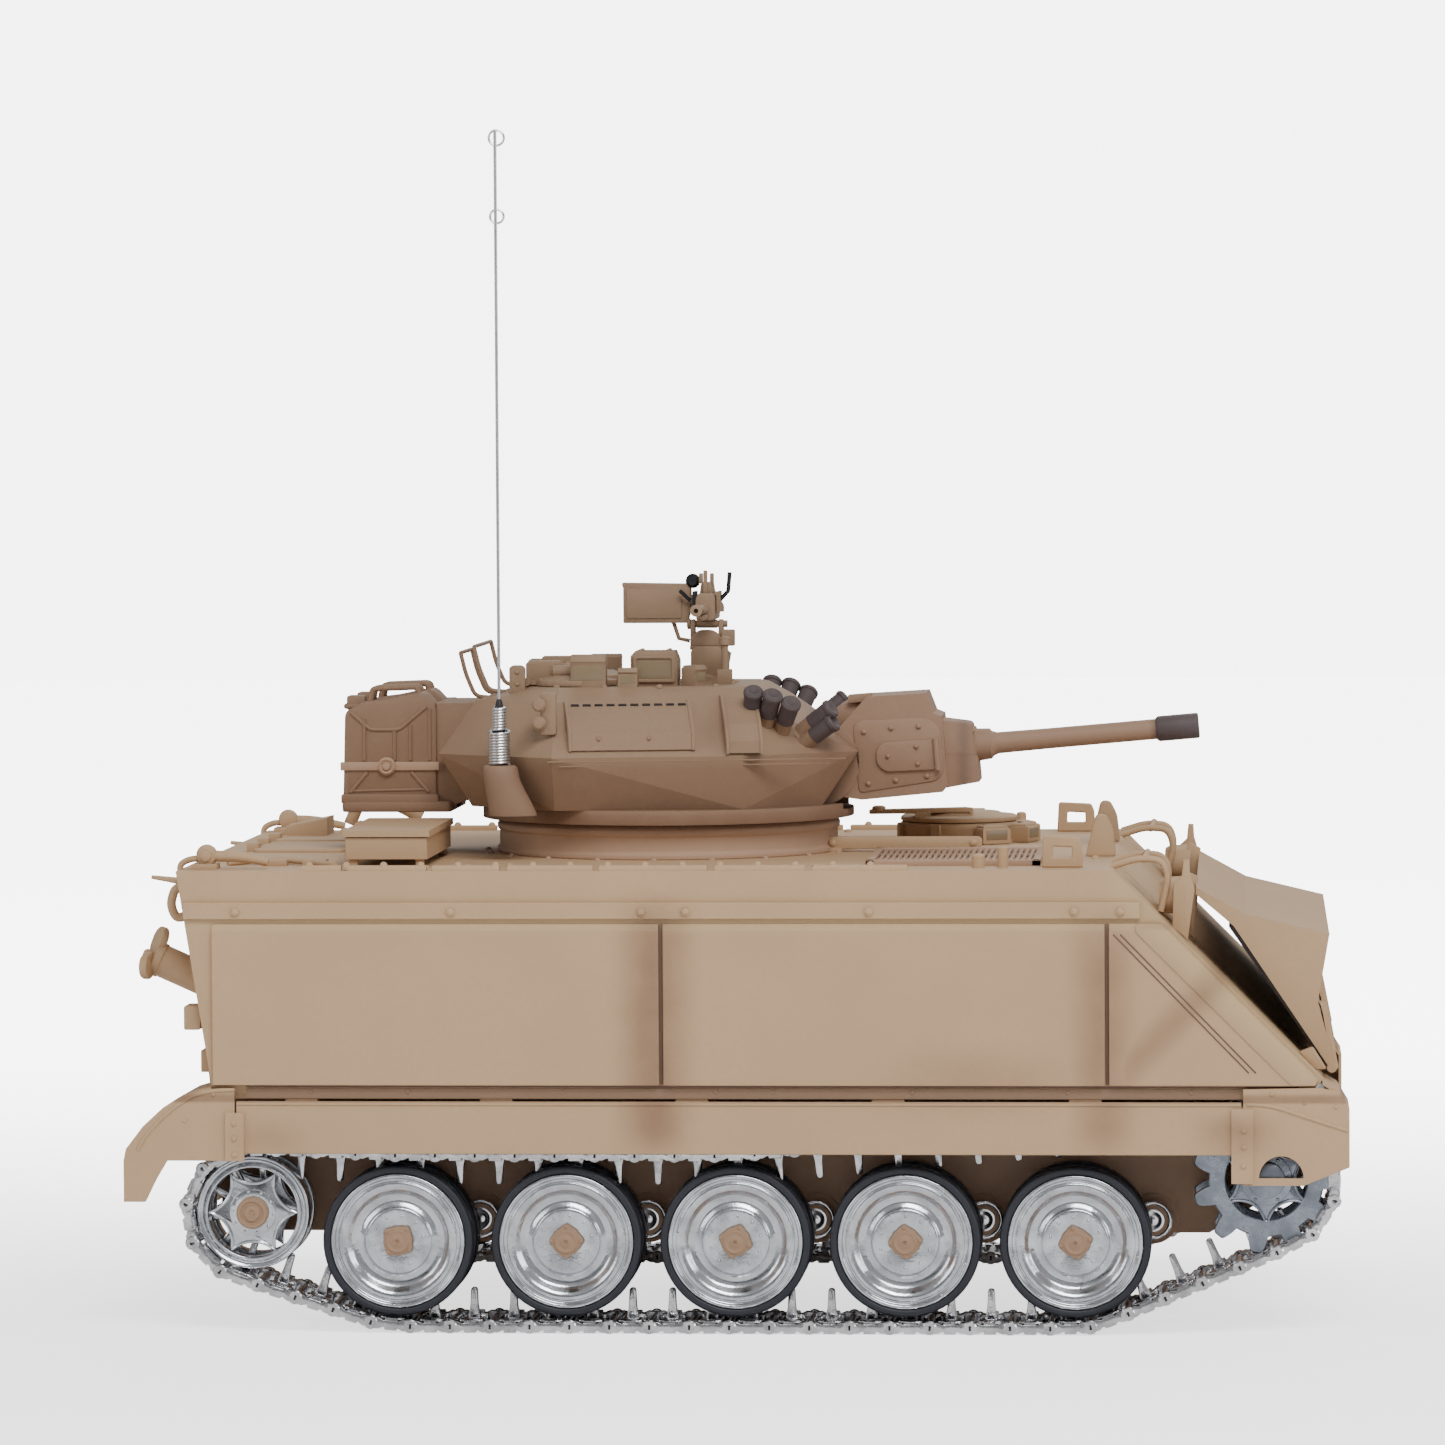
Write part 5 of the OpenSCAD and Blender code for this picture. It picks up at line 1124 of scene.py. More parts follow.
def build_turret_trim():
    """Bins, slots, folded lips, brackets and bolts on the turret's facets."""
    s = Shape()
    for u0, u1, outline in ((4.4, 36.2, [(-15, 13.7), (-12.2, 13.7), (-1.4, 6.0), (-0.6, 1.7), (-3, 0.9),
                                         (-8, 0.9)]),
                            (43.8, 53.2, [(-16, 14.7), (-12.6, 14.7), (-3.4, 8.2), (0.7, 3.9), (0.7, 0.6),
                                          (-8, 0.6)])):
        for a, b in ((u0, u0 + 0.9), (u1 - 0.9, u1)):
            on_facet(s, bin_wall(outline, a, b, 0.25))
    n = turret().slots
    us = 7.0 + np.arange(n) * 27.0 / (n - 1)
    slope = math.degrees(math.atan2(7.6, 10.6))
    # Each slot is a near-black box: painted shadow inside the slot.
    slot = moved(box((-1.0, -0.28, -0.3), (1.0, 0.28, 0.25), 0.1), (0, 0, 0), spin("x", -slope))
    for u in us:
        on_facet(s, moved(slot, (u, -10.9, 12.65)), 1)
    for u in (12, 24.6):
        on_facet(s, moved(lathe([(0.6, -0.2), *stud(0.5, 0.4)], (0, 0, 0), "+y", 10), (u, -1.2, 4.6)))
    for u0, u1, up in ((-1, 74, -0.9), (2, 70, -2.1)):
        on_facet(s, box((u0, -0.9, up - 0.25), (u1, 0.05 + up * 0.25, up + 0.15), 0.1))
    s.add(plate(rounded([(-50.2, 145.6), (-46.2, 145.6), (-46.2, 156.2), (-50.2, 156.2)], 0.7, 3), -47.6,
                -45.6, "y", 0.3), 0, True)
    for z in (153.2, 148.6):
        s.add(lathe([(1.0, -0.4), (1.7, 0.1), (1.75, 1.4), (1.2, 2.0), (0.4, 2.1)], (-50.4, -47.4, z),
                    "-y", 24), 0, True)
    frame_wire = bend([(-73.9, 0, 165.0), (-72.6, 0, 159.6), (-70.2, 0, 153.9), (-66.0, 0, 153.6)], 1.8)
    for y, dx, dz in ((-13, 0, 0), (-20, 4.2, 1.8)):
        s.add(moved(tube(frame_wire, 0.55, 10, False, (0, 1, 0)), (dx, y, dz)), 0, True)
    s.add(tube([(-73.9, -13, 165), (-73.9, 13, 165)], 0.5, 10))
    s.add(tube([(-69.7, -20, 166.8), (-69.7, 20, 166.8)], 0.5, 10))
    s.add(plate(rounded([(-60.4, 155), (-56.3, 155), (-56.3, 161.6), (-57.2, 162.2), (-59.5, 162.2),
                         (-60.4, 161.6)], 0.8, 4), -24, -22.4, "y", 0.35), 0, True)
    s.add(studs([(-58.3, -24, 157.4), (-58.3, -24, 160.4)], "-y", 0.6, 0.45), 0, True)
    for x, y in ((-48, -27), (-36, -27), (-22, -27), (-8, -24), (-5, -8), (-6, 8), (-8, 22), (-36, 27),
                 (-52, -12), (-52, 12)):
        s.add(studs([(x, y, TURRET_TOP)], "+z", 0.9, 0.7), 0)
    for y in (-1, 1):
        s.add(box((-58, y * 4 - 0.4, TURRET_TOP - 0.3), (-4, y * 4 + 0.4, TURRET_TOP + 0.35), 0.15), 0)
    piece("turret_trim", s, "turret", ["turret_sand", "dark_painted_shadow"])


def build_rack():
    """Rear rack: a box of bent sheet between two ribbed fuel cans, each strapped to its side."""
    s = Shape()
    s.add(plate(rounded([(-103.0, -5.6), (-76, -5.6), (-76, 5.6), (-103.0, 5.6)], 0.8, 3), 124.8, 150, "z",
                0.5))
    s.add(plate([(-80, 124.8), (-66, 129.6), (-63, 138), (-60, 152.4), (-80, 152.4)], -15.4, 15.4, "y",
                0.4))
    s.add(plate(rounded([(-104.2, -17.0), (-76, -17.0), (-76, 17.0), (-104.2, 17.0)], 1.5, 4), 124.6,
                127.4, "z", 0.5))
    s.add(tube(bend([(-78, -13, 152), (-103.6, -13, 151.4), (-103.6, 13, 151.4), (-78, 13, 152)], 2.4),
               0.7, 10))
    for side in (-1, 1):
        y0, y1 = sorted((side * 5.4, side * 16.2))
        axis = "-y" if side < 0 else "+y"
        body = rounded([(-104.0, 127.6), (-79.8, 127.6), (-79.8, 151.6), (-83.4, 155.4), (-93, 153.4),
                        (-98.6, 152.8), (-103.4, 150.2)], 1.6, 5)
        s.add(plate(body, y0, y1, "y", 1.0))
        s.add(plate(rounded([(-104.4, 126.8), (-79.4, 126.8), (-79.4, 129.2), (-104.4, 129.2)], 0.6, 3),
                    *sorted((side * 6, side * 16.9)), "y", 0.4))

        def rib(points, r=0.5):
            p = np.array(points, float)
            s.add(tube(bend(np.column_stack([p[:, 0], np.full(len(p), side * 16.2), p[:, 1]]), 1.2), r, 8,
                       False, (0, 1, 0)))

        rib([(-101.8, 150.0), (-96.8, 145.6), (-89.4, 145.6), (-82.4, 151.4)])
        rib([(-98.4, 137.8), (-98.4, 148.4)])
        rib([(-90.6, 137.8), (-90.6, 145.4)])
        rib([(-86.6, 137.8), (-86.6, 146.8)])
        rib([(-102.0, 129.6), (-97.6, 134.8)])
        rib([(-82.0, 129.8), (-86.4, 134.8)])
        rib([(-102.0, 130.0), (-82.2, 130.4)], 0.35)
        rib([(-81.6, 137.8), (-81.6, 151.0)])
        s.add(box((-104.5, min(side * 16.0, side * 16.8), 135.2),
                  (-79.3, max(side * 16.0, side * 16.8), 137.4), 0.25), 1)
        s.add(lathe([(2.3, -0.4), (2.3, 0.9), (1.8, 1.4), (1.1, 1.0), (0.9, 1.6), (0.3, 1.7)],
                    (-92.6, side * 16.2, 136.3), axis, 28), 1)
        for y in (side * 7.6, side * 11, side * 14.4):
            s.add(tube(bend([(-97, y, 152.6), (-96.4, y, 156.0), (-84.8, y, 156.4), (-84.2, y, 153.6)],
                            1.2), 0.75, 10, False, (0, 1, 0)))
        s.add(box((-103.2, min(side * 8, side * 13), 150.4), (-98.6, max(side * 8, side * 13), 154.2), 0.6))
    piece("rear_rack_and_cans", s, "turret", ["turret_sand", "shadow_sand"], ["stowage_rack"])


def build_smoke():
    """Smoke launchers: capped tubes on stepped sockets, fanned out over a bracket at each side of the
    turret's nose.
    """
    t = mm(turret().tube)
    s = Shape()
    sleeve = lathe([(t + 0.35, -3.4), (t + 0.7, -2.6), (t + 0.7, 0.4), (t + 0.3, 0.8), (t, 1.0), (t, 5.0)],
                   (0, 0, 0), "+z", 28)
    mouth = lathe([(t - 0.3, 4.6), (t + 0.1, 4.9), (t + 0.1, 10.4), (t + 0.35, 10.6), (t + 0.35, 11.4),
                   (t - 0.1, 11.9), (t - 0.6, 11.9), (0.5, 11.2)],
                  (0, 0, 0), "+z", 28)
    for at, turn, lift in SMOKE_TUBES:
        matrix = spin("z", turn) @ spin("y", 90 - lift)
        s.add(moved(sleeve, at, matrix), 0, True)
        s.add(moved(mouth, at, matrix), 1, True)
    s.add(tube(bend([(0.5, -28.6, 146.2), (5.6, -29.2, 145.0), (12.0, -26.6, 144.4), (17.6, -22.2, 143.8)],
                    2.5), 2.2, 14), 0, True)
    s.add(plate([(-0.5, 141.4), (5.4, 141.8), (5.0, 149.2), (0.6, 150.2)], -29.4, -24.4, "y", 0.5), 0, True)
    s.add(plate([(10.4, 141.2), (17.4, 142.2), (16.6, 146.6), (11.2, 147.4)], -26.2, -20.4, "y", 0.5), 0,
          True)
    piece("smoke_tubes", s, "turret", ["turret_sand", "burnt"], ["smoke_launchers"])


SMOKE_TUBES = [((1.2, -28.4, 146.8), -80, 52), ((4.6, -29.2, 146.2), -68, 50),
               ((8.6, -28.2, 145.0), -66, 44),
               ((13.0, -26.0, 144.6), -22, 36), ((13.2, -26.6, 141.6), -20, 34)]


def periscope(x, y, z, w, d, h, turn=0.0):
    """A periscope head: a hooded block with an inset pane that faces along +X before its turn."""
    outline = [(-d / 2, 0), (d / 2, 0), (d / 2, h * 0.72), (d / 2 + 0.4, h * 0.8), (d / 2 - 0.2, h),
               (-d / 2 + 0.8, h), (-d / 2, h - 0.8)]
    body = plate(outline, -w / 2, w / 2, "y", 0.3)
    pane = box((d / 2 - 0.1, -w / 2 + 0.7, h * 0.25), (d / 2 + 0.06, w / 2 - 0.7, h * 0.68), 0.05)
    matrix = spin("z", turn)
    return moved(body, (x, y, z), matrix), moved(pane, (x, y, z), matrix)


def build_sights():
    """Periscopes round the hatches, the gunner's sight with its pane, small boxes and a pillar."""
    s = Shape()
    for x, y, w, d, h, turn in ((-52.2, -16, 5, 9.0, 6.8, 0), (-40.0, -25, 9.0, 4.4, 8.6, -90),
                                (-30, -25.5, 5, 4, 5.2, -90), (-52.2, 16, 5, 8, 6.8, 0),
                                (-40, 24, 8, 4.4, 7, 90), (-14, -18, 5, 4.4, 5.6, -30),
                                (-14, 18, 5, 4.4, 3.4, 30), (-26, 24, 6, 4, 5.6, 90)):
        body, pane = periscope(x, y, TURRET_TOP - 0.4, w, d, h, turn)
        s.add(body)
        s.add(pane, 1)
    s.add(plate([(-30, 156.2), (-18, 156.2), (-18, 163.4), (-18.8, 165.5), (-28.8, 165.5), (-30, 164.2)],
                -19, -9.4, "y", 0.4))
    s.add(box((-28.4, -19.25, 158.0), (-19.6, -18.9, 163.6), 0.1), 1)
    s.add(window([(-29.4, 157.4), (-18.6, 157.4), (-18.6, 164.4), (-29.4, 164.4)], 1.0, -19.7, -18.8))
    s.add(box((-17.95, -17.6, 158.4), (-17.8, -10.8, 163.2), 0.05), 1)
    s.add(studs([(-27.5, -17.5, 165.5), (-20.5, -17.5, 165.5), (-27.5, -11, 165.5), (-20.5, -11, 165.5)],
                "+z", 0.6, 0.5, 12))
    s.add(box((-8.5, -11.0, 156.3), (-4.9, -7.4, 160.5), 0.3))
    s.add(lathe([(0.9, 0), (0.9, 6), (1.4, 6.4), (1.4, 8.2), (0.5, 8.6)], (-6.7, -9.2, 160.3), "+z", 20))
    s.add(lathe([(2.6, -0.2), (2.6, 2.2), (2.0, 2.8), (0.5, 3.0)], (-10, 12, TURRET_TOP), "+z", 28))
    piece("periscopes_and_sights", s, "turret", ["turret_sand", "pane"], ["turret_sights"])


def spring(at, radius, wire, low, high, turns, sides=8):
    """A coil of wire: (r cos t, r sin t, low + rise t / 2 pi), its circle carried along the coil."""
    t = np.linspace(0, 2 * math.pi * turns, int(turns * 22))
    r = np.broadcast_to(radius, t.shape)
    path = np.column_stack([at[0] + r * np.cos(t), at[1] + r * np.sin(t), np.linspace(low, high, len(t))])
    return tube(path, wire, sides)


def build_antenna():
    """Whip antenna: a tapered foot, a two-stage coil spring, a thin rod and two rings of wire."""
    k = turret()
    w = mm(k.spring_wire)
    x, y, z = ANTENNA
    s = Shape()
    a = np.linspace(0, 2 * math.pi, 48, endpoint=False)
    foot = [(4.9, 4.6, 2.2, 0), (4.9, 4.6, 2.1, 0.8), (4.7, 4.5, 1.7, 3), (4.45, 4.4, 1.0, 6),
            (4.3, 4.3, 0.4, 9), (4.25, 4.25, 0.1, 12), (3.9, 3.9, 0, 12.5), (2.2, 2.2, 0, 12.6)]
    rings = [np.column_stack([x + ahead + (rx + ahead * (np.cos(a) > 0)) * np.cos(a), y + ry * np.sin(a),
                              np.full(48, z + up)]) for rx, ry, ahead, up in foot]
    s.add(skin(np.stack(rings)))
    lower = k.spring_turns * 0.58
    r1, r2 = 2.8 - w, 1.9 - w
    s.add(spring((x, y), r1, w, 138.2, 146.6, lower), 1)
    s.add(spring((x, y), np.concatenate([np.linspace(r1, r2, 20),
                                         np.full(int((k.spring_turns - lower) * 22) - 20, r2)]), w, 146.6,
                                         152.6, k.spring_turns - lower), 1)
    s.add(lathe([(1.25, 137.8), (1.25, 151.8), (0.9, 153.4), (0.55, 154.6)], (x, y, 0), "+z", 20), 2)
    s.add(tube([(x, y, 152), (x, y, 180), (x, y, 240), (x, y, 296.2)], 0.42, 10, False, (1, 0, 0)), 1)
    for top, r in ((296.3, 1.9), (276.6, 1.7)):
        a = np.linspace(0, 2 * math.pi, 28, endpoint=False)
        ring = np.column_stack([x + 0.35 + r * np.cos(a), np.full(28, y), top - r + r * np.sin(a)])
        s.add(tube(ring, 0.3, 8, True, (0, 1, 0)), 1)
    piece("whip_antenna", s, "turret", ["turret_sand", "wire", "dark_metal"], ["antenna"])


def build_hatches():
    """Lids of the turret's hatches with hinges, handles and latches."""
    for node in ("commander_hatch", "gunner_hatch"):
        low, high = (np.array(c) * 1000 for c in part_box(node))
        cx, cy = (low[0] + high[0]) / 2, (low[1] + high[1]) / 2
        r = min(high[0] - low[0], high[1] - low[1]) / 2 - 1.2
        s = Shape()
        top = TURRET_TOP + 1.7
        s.add(lathe([(r, -1.0), (r, 0.1), (r - 0.4, 0.5), (r - 1.6, 0.6), (r - 2.4, 1.0), (1.0, 1.2)],
                    (cx, cy, top - 0.4), "+z", 56))
        s.add(lathe([(1.6, 0), (1.6, 8.4), (1.2, 8.8)], (cx - 4.2, cy - 3, top + 2.0), "+x", 28))
        for dx in (-2.4, 2.4):
            s.add(box((cx + dx - 0.8, cy - 4.2, top), (cx + dx + 0.8, cy - 1.8, top + 2.2), 0.3))
        s.add(tube(bend([(cx - 3.4, cy + 2.6, top + 0.4), (cx - 3.4, cy + 2.6, top + 2.4),
                         (cx + 3.4, cy + 2.6, top + 2.4), (cx + 3.4, cy + 2.6, top + 0.4)], 0.8), 0.45, 8))
        s.add(studs([(cx + (r - 1) * math.cos(a), cy + (r - 1) * math.sin(a), top) for a in np.linspace(0,
            5.5, 7)], "+z", 0.6, 0.5, 12))
        piece(node + "_fittings", s, node, ["turret_sand"])


def build_machine_gun():
    """Machine gun laid across the turret: receiver, jacketed barrel, sights, tray and broad ammunition
    plate; and its pintle.
    """
    x, y, z = *PINTLE, CRADLE_Z
    s = Shape()

    def put(surface, paint=0):
        s.add(moved(surface, (x, y, z)), paint)

    put(plate(rounded([(-2.2, 1), (2.2, 1), (2.4, 3), (2.4, 6.6), (1.7, 8), (-1.7, 8), (-2.4, 6.6),
                       (-2.4, 3)], 0.5, 3), -8, 14, "y", 0.5))
    put(plate([(-1.7, 7.9), (1.7, 7.9), (1.3, 10.6), (-1.3, 10.6)], -3, 7, "y", 0.4))
    put(box((-0.5, -5.8, 7.9), (0.5, -4.7, 13.8), 0.2))
    put(box((-1.9, -2.2, 10.4), (-0.9, -1.0, 13.0), 0.2))
    put(box((0.9, -2.2, 10.4), (1.9, -1.0, 13.0), 0.2))
    put(lathe([(1.1, 0), (1.1, 14), (0.75, 14.5), (0.75, 25.6), (1.15, 26.2), (1.5, 26.8), (1.5, 28.8),
               (0.6, 29), (0.55, 27)], (0, -8, 4.4), "-y", 24))
    for reach in np.arange(2.0, 13.5, 2.3):
        put(lathe([(1.0, -0.35), (1.35, -0.35), (1.35, 0.35), (1.0, 0.35)], (0, -8 - reach, 4.4), "-y", 24,
                  closed=True))
    put(lathe([(0.8, 0), (0.8, 9.5), (0.4, 10)], (0, -8, 2.0), "-y", 18))
    put(box((-1.4, 13.8, 2.2), (1.4, 15.4, 5.8), 0.3))
    for side in (-1, 1):
        put(tube(bend([(side * 1.2, 15, 5.2), (side * 2.6, 16, 4.6), (side * 2.6, 16, 2.6)], 0.8), 0.6, 10,
                 False, (0, 1, 0)))
        put(box((side * 3.1 - 0.45, -3.4, 3.0), (side * 3.1 + 0.45, 3.6, 8.4), 0.2), int(side < 0))
    put(lathe([(1.1, -2.6), (1.1, 2.6)], (0, 0, 0), "+x", 20))
    put(tube([(3.2, 0.5, 6), (5.4, 0.5, 8.4), (5.8, 0.5, 13.2)], 0.55, 10, False, (0, 1, 0)), 1)
    put(tube([(-4.2, -1.6, 6.0), (-6.8, -2.4, 8.6)], 0.5, 8), 1)
    put(lathe([(0.9, -1), (1.7, -0.8), (1.9, 0.6), (1.1, 1.5), (0.4, 1.6)], (-3.6, 0.5, 11.0), "-y", 20), 1)
    put(plate(rounded([(-21.6, 0.2), (-5.0, 0.2), (-4.2, 4.2), (-4.2, 9.2), (-5.0, 10.3), (-21.9, 10.6),
                       (-21.9, 9.9), (-21.6, 9.4)], 0.35, 2), -0.2, 3.8, "y", 0.3))
    put(box((-20.6, -0.5, 1.4), (-6.6, -0.1, 9.0), 0.15))
    put(box((-5.4, 0.2, 3.4), (-1.8, 3.8, 7.4), 0.3))
    put(tube([(-8.8, 1.6, 0.4), (-7.4, 1.6, -3.8), (-4.6, 1.6, -4.4)], 0.55, 10, False, (0, 1, 0)))
    piece("machine_gun_cast", s, "machine_gun", ["turret_sand", "dark_metal"], ["machine_gun"])

    s = Shape()
    base = TURRET_TOP

    def stand(surface):
        s.add(moved(surface, (x, y, base)))

    stand(lathe([(4.9, 0.1), (4.9, 1.6), (4.2, 2.2), (3.4, 2.6), (3.2, 4.6), (2.5, 5.2), (2.4, 8.8)],
                (0, 0, 0), "+z", 40))
    stand(plate(rounded([(-4.0, 1.4), (4.2, 1.4), (4.2, 8.4), (2.8, 9.4), (-2.6, 9.4), (-4.0, 8.4)], 0.9,
                        4), -4.2, -3.0, "y", 0.3))
    for dx in (-4.2, 3.0):
        stand(plate(rounded([(-2.3, 8.4), (2.3, 8.4), (2.1, 14.4), (1.2, 16.2), (-1.2, 16.2),
                             (-2.1, 14.4)], 0.8, 4), dx, dx + 1.2, "x", 0.25))
    stand(box((-4.3, -2.8, 8.4), (4.3, 2.8, 9.6), 0.3))
    stand(plate(rounded([(-4.4, 9.4), (4.6, 9.4), (3.4, 12.4), (1.6, 13.6), (-1.8, 13.6), (-3.8, 12.2)],
                        1.0, 4), -2.9, -2.2, "y", 0.2))
    stand(lathe([(0.9, -5.2), (1.4, -5.0), (1.4, -4.3), (0.9, -4.2), (0.9, 5.2)], (0, 0, 15), "+x", 20))
    stand(box((4.0, -3.6, 9.4), (7.2, -0.6, 13.6), 0.3))
    stand(box((4.0, -3.0, 2.6), (5.6, 1.0, 8.2), 0.3))
    stand(tube([(4.8, -1, 2.4), (5.8, -1, 7.8)], 0.5, 10, False, (0, 1, 0)))
    piece("machine_gun_pintle", s, "mg_mount", ["turret_sand"], ["mg_mount"])


def build_gun():
    """Mantlet cheeks, side hatches, covers and the barrel with its collar and burnt sleeve, all raised
    together.
    """
    lift = spin("y", -GUN_RAISE)
    at = np.array(TRUNNION)

    def raised(surface):
        return moved(surface, at, lift)

    s = Shape()
    side = rounded([(10.4, -8.6), (30.4, -7.2), (32.4, -5.0), (32.4, 6.2), (29.2, 9.0), (12.2, 9.8),
                    (10.4, 8.4)], 1.4, 4)
    for y in (-13.0, 12.0):
        s.add(raised(plate(side, y, y + 1.0, "y", 0.35)))
    hatch = rounded([(15.6, -1.8), (17.6, -3.8), (31.6, -4.4), (31.6, 3.4), (17.6, 3.8), (15.6, 1.8)], 1.9,
                    5)
    for y in (-13.9, 12.9):
        s.add(raised(plate(hatch, y, y + 1.0, "y", 0.4)))
    for y in (-14.2, 14.2):
        s.add(raised(lathe([(0.75, -4), (0.75, 4)], (31.0, y, -0.4), "+z", 16)))
        s.add(raised(studs([(18.6, y, 0.2), (26, y, 2.0), (26, y, -2.4)], "-y" if y < 0 else "+y", 0.6,
                           0.5, 12)))
    oval = rounded([(17, 8.4), (27, 8.0), (27, 12.4), (17, 12.4)], 2.2, 6)
    for y in (-11.6, 9.8):
        s.add(raised(plate(oval, y, y + 1.8, "y", 0.7)))
    hump = rounded([(5.2, 8.6), (27, 8.2), (29.6, 10.4), (26, 13.8), (18, 15.2), (8, 14.6), (5.2, 12.4)],
                   1.8, 5)
    s.add(raised(plate(hump, -7.6, 7.6, "y", 1.0)))
    s.add(raised(plate(rounded([(30.2, -7.4), (40.4, -5.6), (40.4, 6.4), (30.2, 8.6)], 1.2, 4), -7.0, 7.0,
                       "y", 0.9)))
    for y in (-5.2, 5.2):
        for z in (-3.6, 4.4):
            s.add(raised(studs([(40.4, y, z)], "+x", 0.75, 0.6, 12)))
    s.add(raised(studs([(13, -13.1, 6.8), (20, -13.1, 7.2), (27, -13.1, 7.0), (13, -13.1, -6.4),
                        (20, -13.1, -6.2), (28, -13.1, -5.8)], "-y", 0.7, 0.55, 12)))
    s.add(raised(box((9.6, -9.2, 14.2), (15.8, -6.8, 16.4), 0.3)))
    piece("mantlet_fittings", s, "gun", ["gun_sand"])

    reach = 98.6 - 1.0
    zb = barrel_height()
    s = Shape()
    steps = [(2.6, 28), (2.6, 38.0), (4.9, 38.3), (5.2, 38.8), (5.2, 40.2), (4.2, 40.8), (3.9, 44.4),
             (3.2, 45.0), (2.75, 46.2),
             (2.62, 60), (2.6, 86.6), (3.0, 87.0), (3.25, 87.4), (3.25, reach - 0.4), (3.0, reach),
             (2.2, reach), (1.75, reach - 0.4), (1.7, reach - 5), (0.3, reach - 5.2)]
    s.add(raised(lathe(steps[:11], (0, 0, zb), "+x", 48)))
    s.add(raised(lathe([(2.5, 86.4)] + steps[10:], (0, 0, zb), "+x", 48)), 1)
    piece("barrel_turned", s, "gun", ["gun_sand", "burnt"], ["gun_barrel"])


def barrel_height():
    """Height of the barrel's axis above the trunnion, found from the CAD barrel's middle."""
    low, high = (np.array(c) * 1000 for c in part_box("gun_barrel"))
    mid = (low + high) / 2 - np.array(TRUNNION)
    a = math.radians(GUN_RAISE)
    return mid[2] * math.cos(a) - mid[0] * math.sin(a)


# ---- CAD nodes: paints and rounded edges ----

NODE_PAINTS = {
    "hull_sand": ["upper_hull", "side_panels", "side_skirts", "front_fenders", "rear_fenders"],
    "plain_sand": ["rear_ramp", "trim_vane", "roof_box", "roof_box_lid", "driver_cupola", "driver_hatch",
                   "bow_fittings", "rear_fittings", "headlamps"],
    "shadow_sand": ["lower_hull", "engine_grille", "turret_race"],
    "turret_sand": ["turret_shell", "stowage_rack", "smoke_launchers", "turret_sights", "commander_hatch",
                    "gunner_hatch", "mg_mount", "machine_gun", "antenna"],
    "gun_sand": ["gun_mantlet", "gun_barrel"],
    "glass": ["headlamp_lenses"],
    "black_plastic": ["speaker"],
    "dark_metal": ["gearmotors"],
    "board": ["control_board"],
    "battery": ["battery_pack"],
}
KEPT_EDGES = {"upper_hull", "side_panels", "side_skirts", "front_fenders", "rear_fenders", "rear_ramp",
              "trim_vane", "roof_box", "roof_box_lid",
              "turret_shell", "commander_hatch", "gunner_hatch", "gun_mantlet", "lower_hull"}


def paint_nodes():
    """Gives every CAD node its paint, and a small rounding to the painted ones that stay in view."""
    wanted = {node: paint for paint, nodes in NODE_PAINTS.items() for node in nodes}
    for name, obj in NODES.items():
        obj.data.materials.clear()
        obj.data.materials.append(material(wanted.get(name, "shadow_sand")))
        if name in KEPT_EDGES:
            weld = obj.modifiers.new("Weld", "WELD")
            weld.merge_threshold = 0.00001
            bevel = obj.modifiers.new("Bevel", "BEVEL")
            bevel.width = hull().edge
            bevel.segments = 2
            bevel.limit_method = "ANGLE"
            bevel.angle_limit = math.radians(24)
            bevel.harden_normals = True
            bevel.use_clamp_overlap = True

# ---- Stage ----

CAMERA = np.array([0.1254, -1.784, 0.228])
AIM = np.array([-0.0018, -0.084, 0.1503])


def lamp(name, at, aim, width, height, watts):
    """A soft rectangular light that points at a spot."""
    data = bpy.data.lights.new(name, "AREA")
    data.shape, data.size, data.size_y, data.energy = "RECTANGLE", width, height, watts
    obj = bpy.data.objects.new(name, data)
    bpy.context.scene.collection.objects.link(obj)
    place(obj, at, aim)
    return obj


def place(obj, at, aim, roll=0.0):
    """Puts an object at a point, its -Z axis toward the aim, then rolls it about that axis."""
    toward = Vector(aim) - Vector(at)
    obj.matrix_world = Matrix.Translation(at) @ toward.to_track_quat("-Z",
        "Y").to_matrix().to_4x4() @ Matrix.Rotation(math.radians(roll), 4, "Z")


def sheet(name, points, paint):
    """A single four-cornered sheet."""
    mesh = bpy.data.meshes.new(name)
    mesh.from_pydata(points, [], [(0, 1, 2, 3)])
    mesh.materials.append(material(paint))
    obj = bpy.data.objects.new(name, mesh)
    bpy.context.scene.collection.objects.link(obj)
    return obj


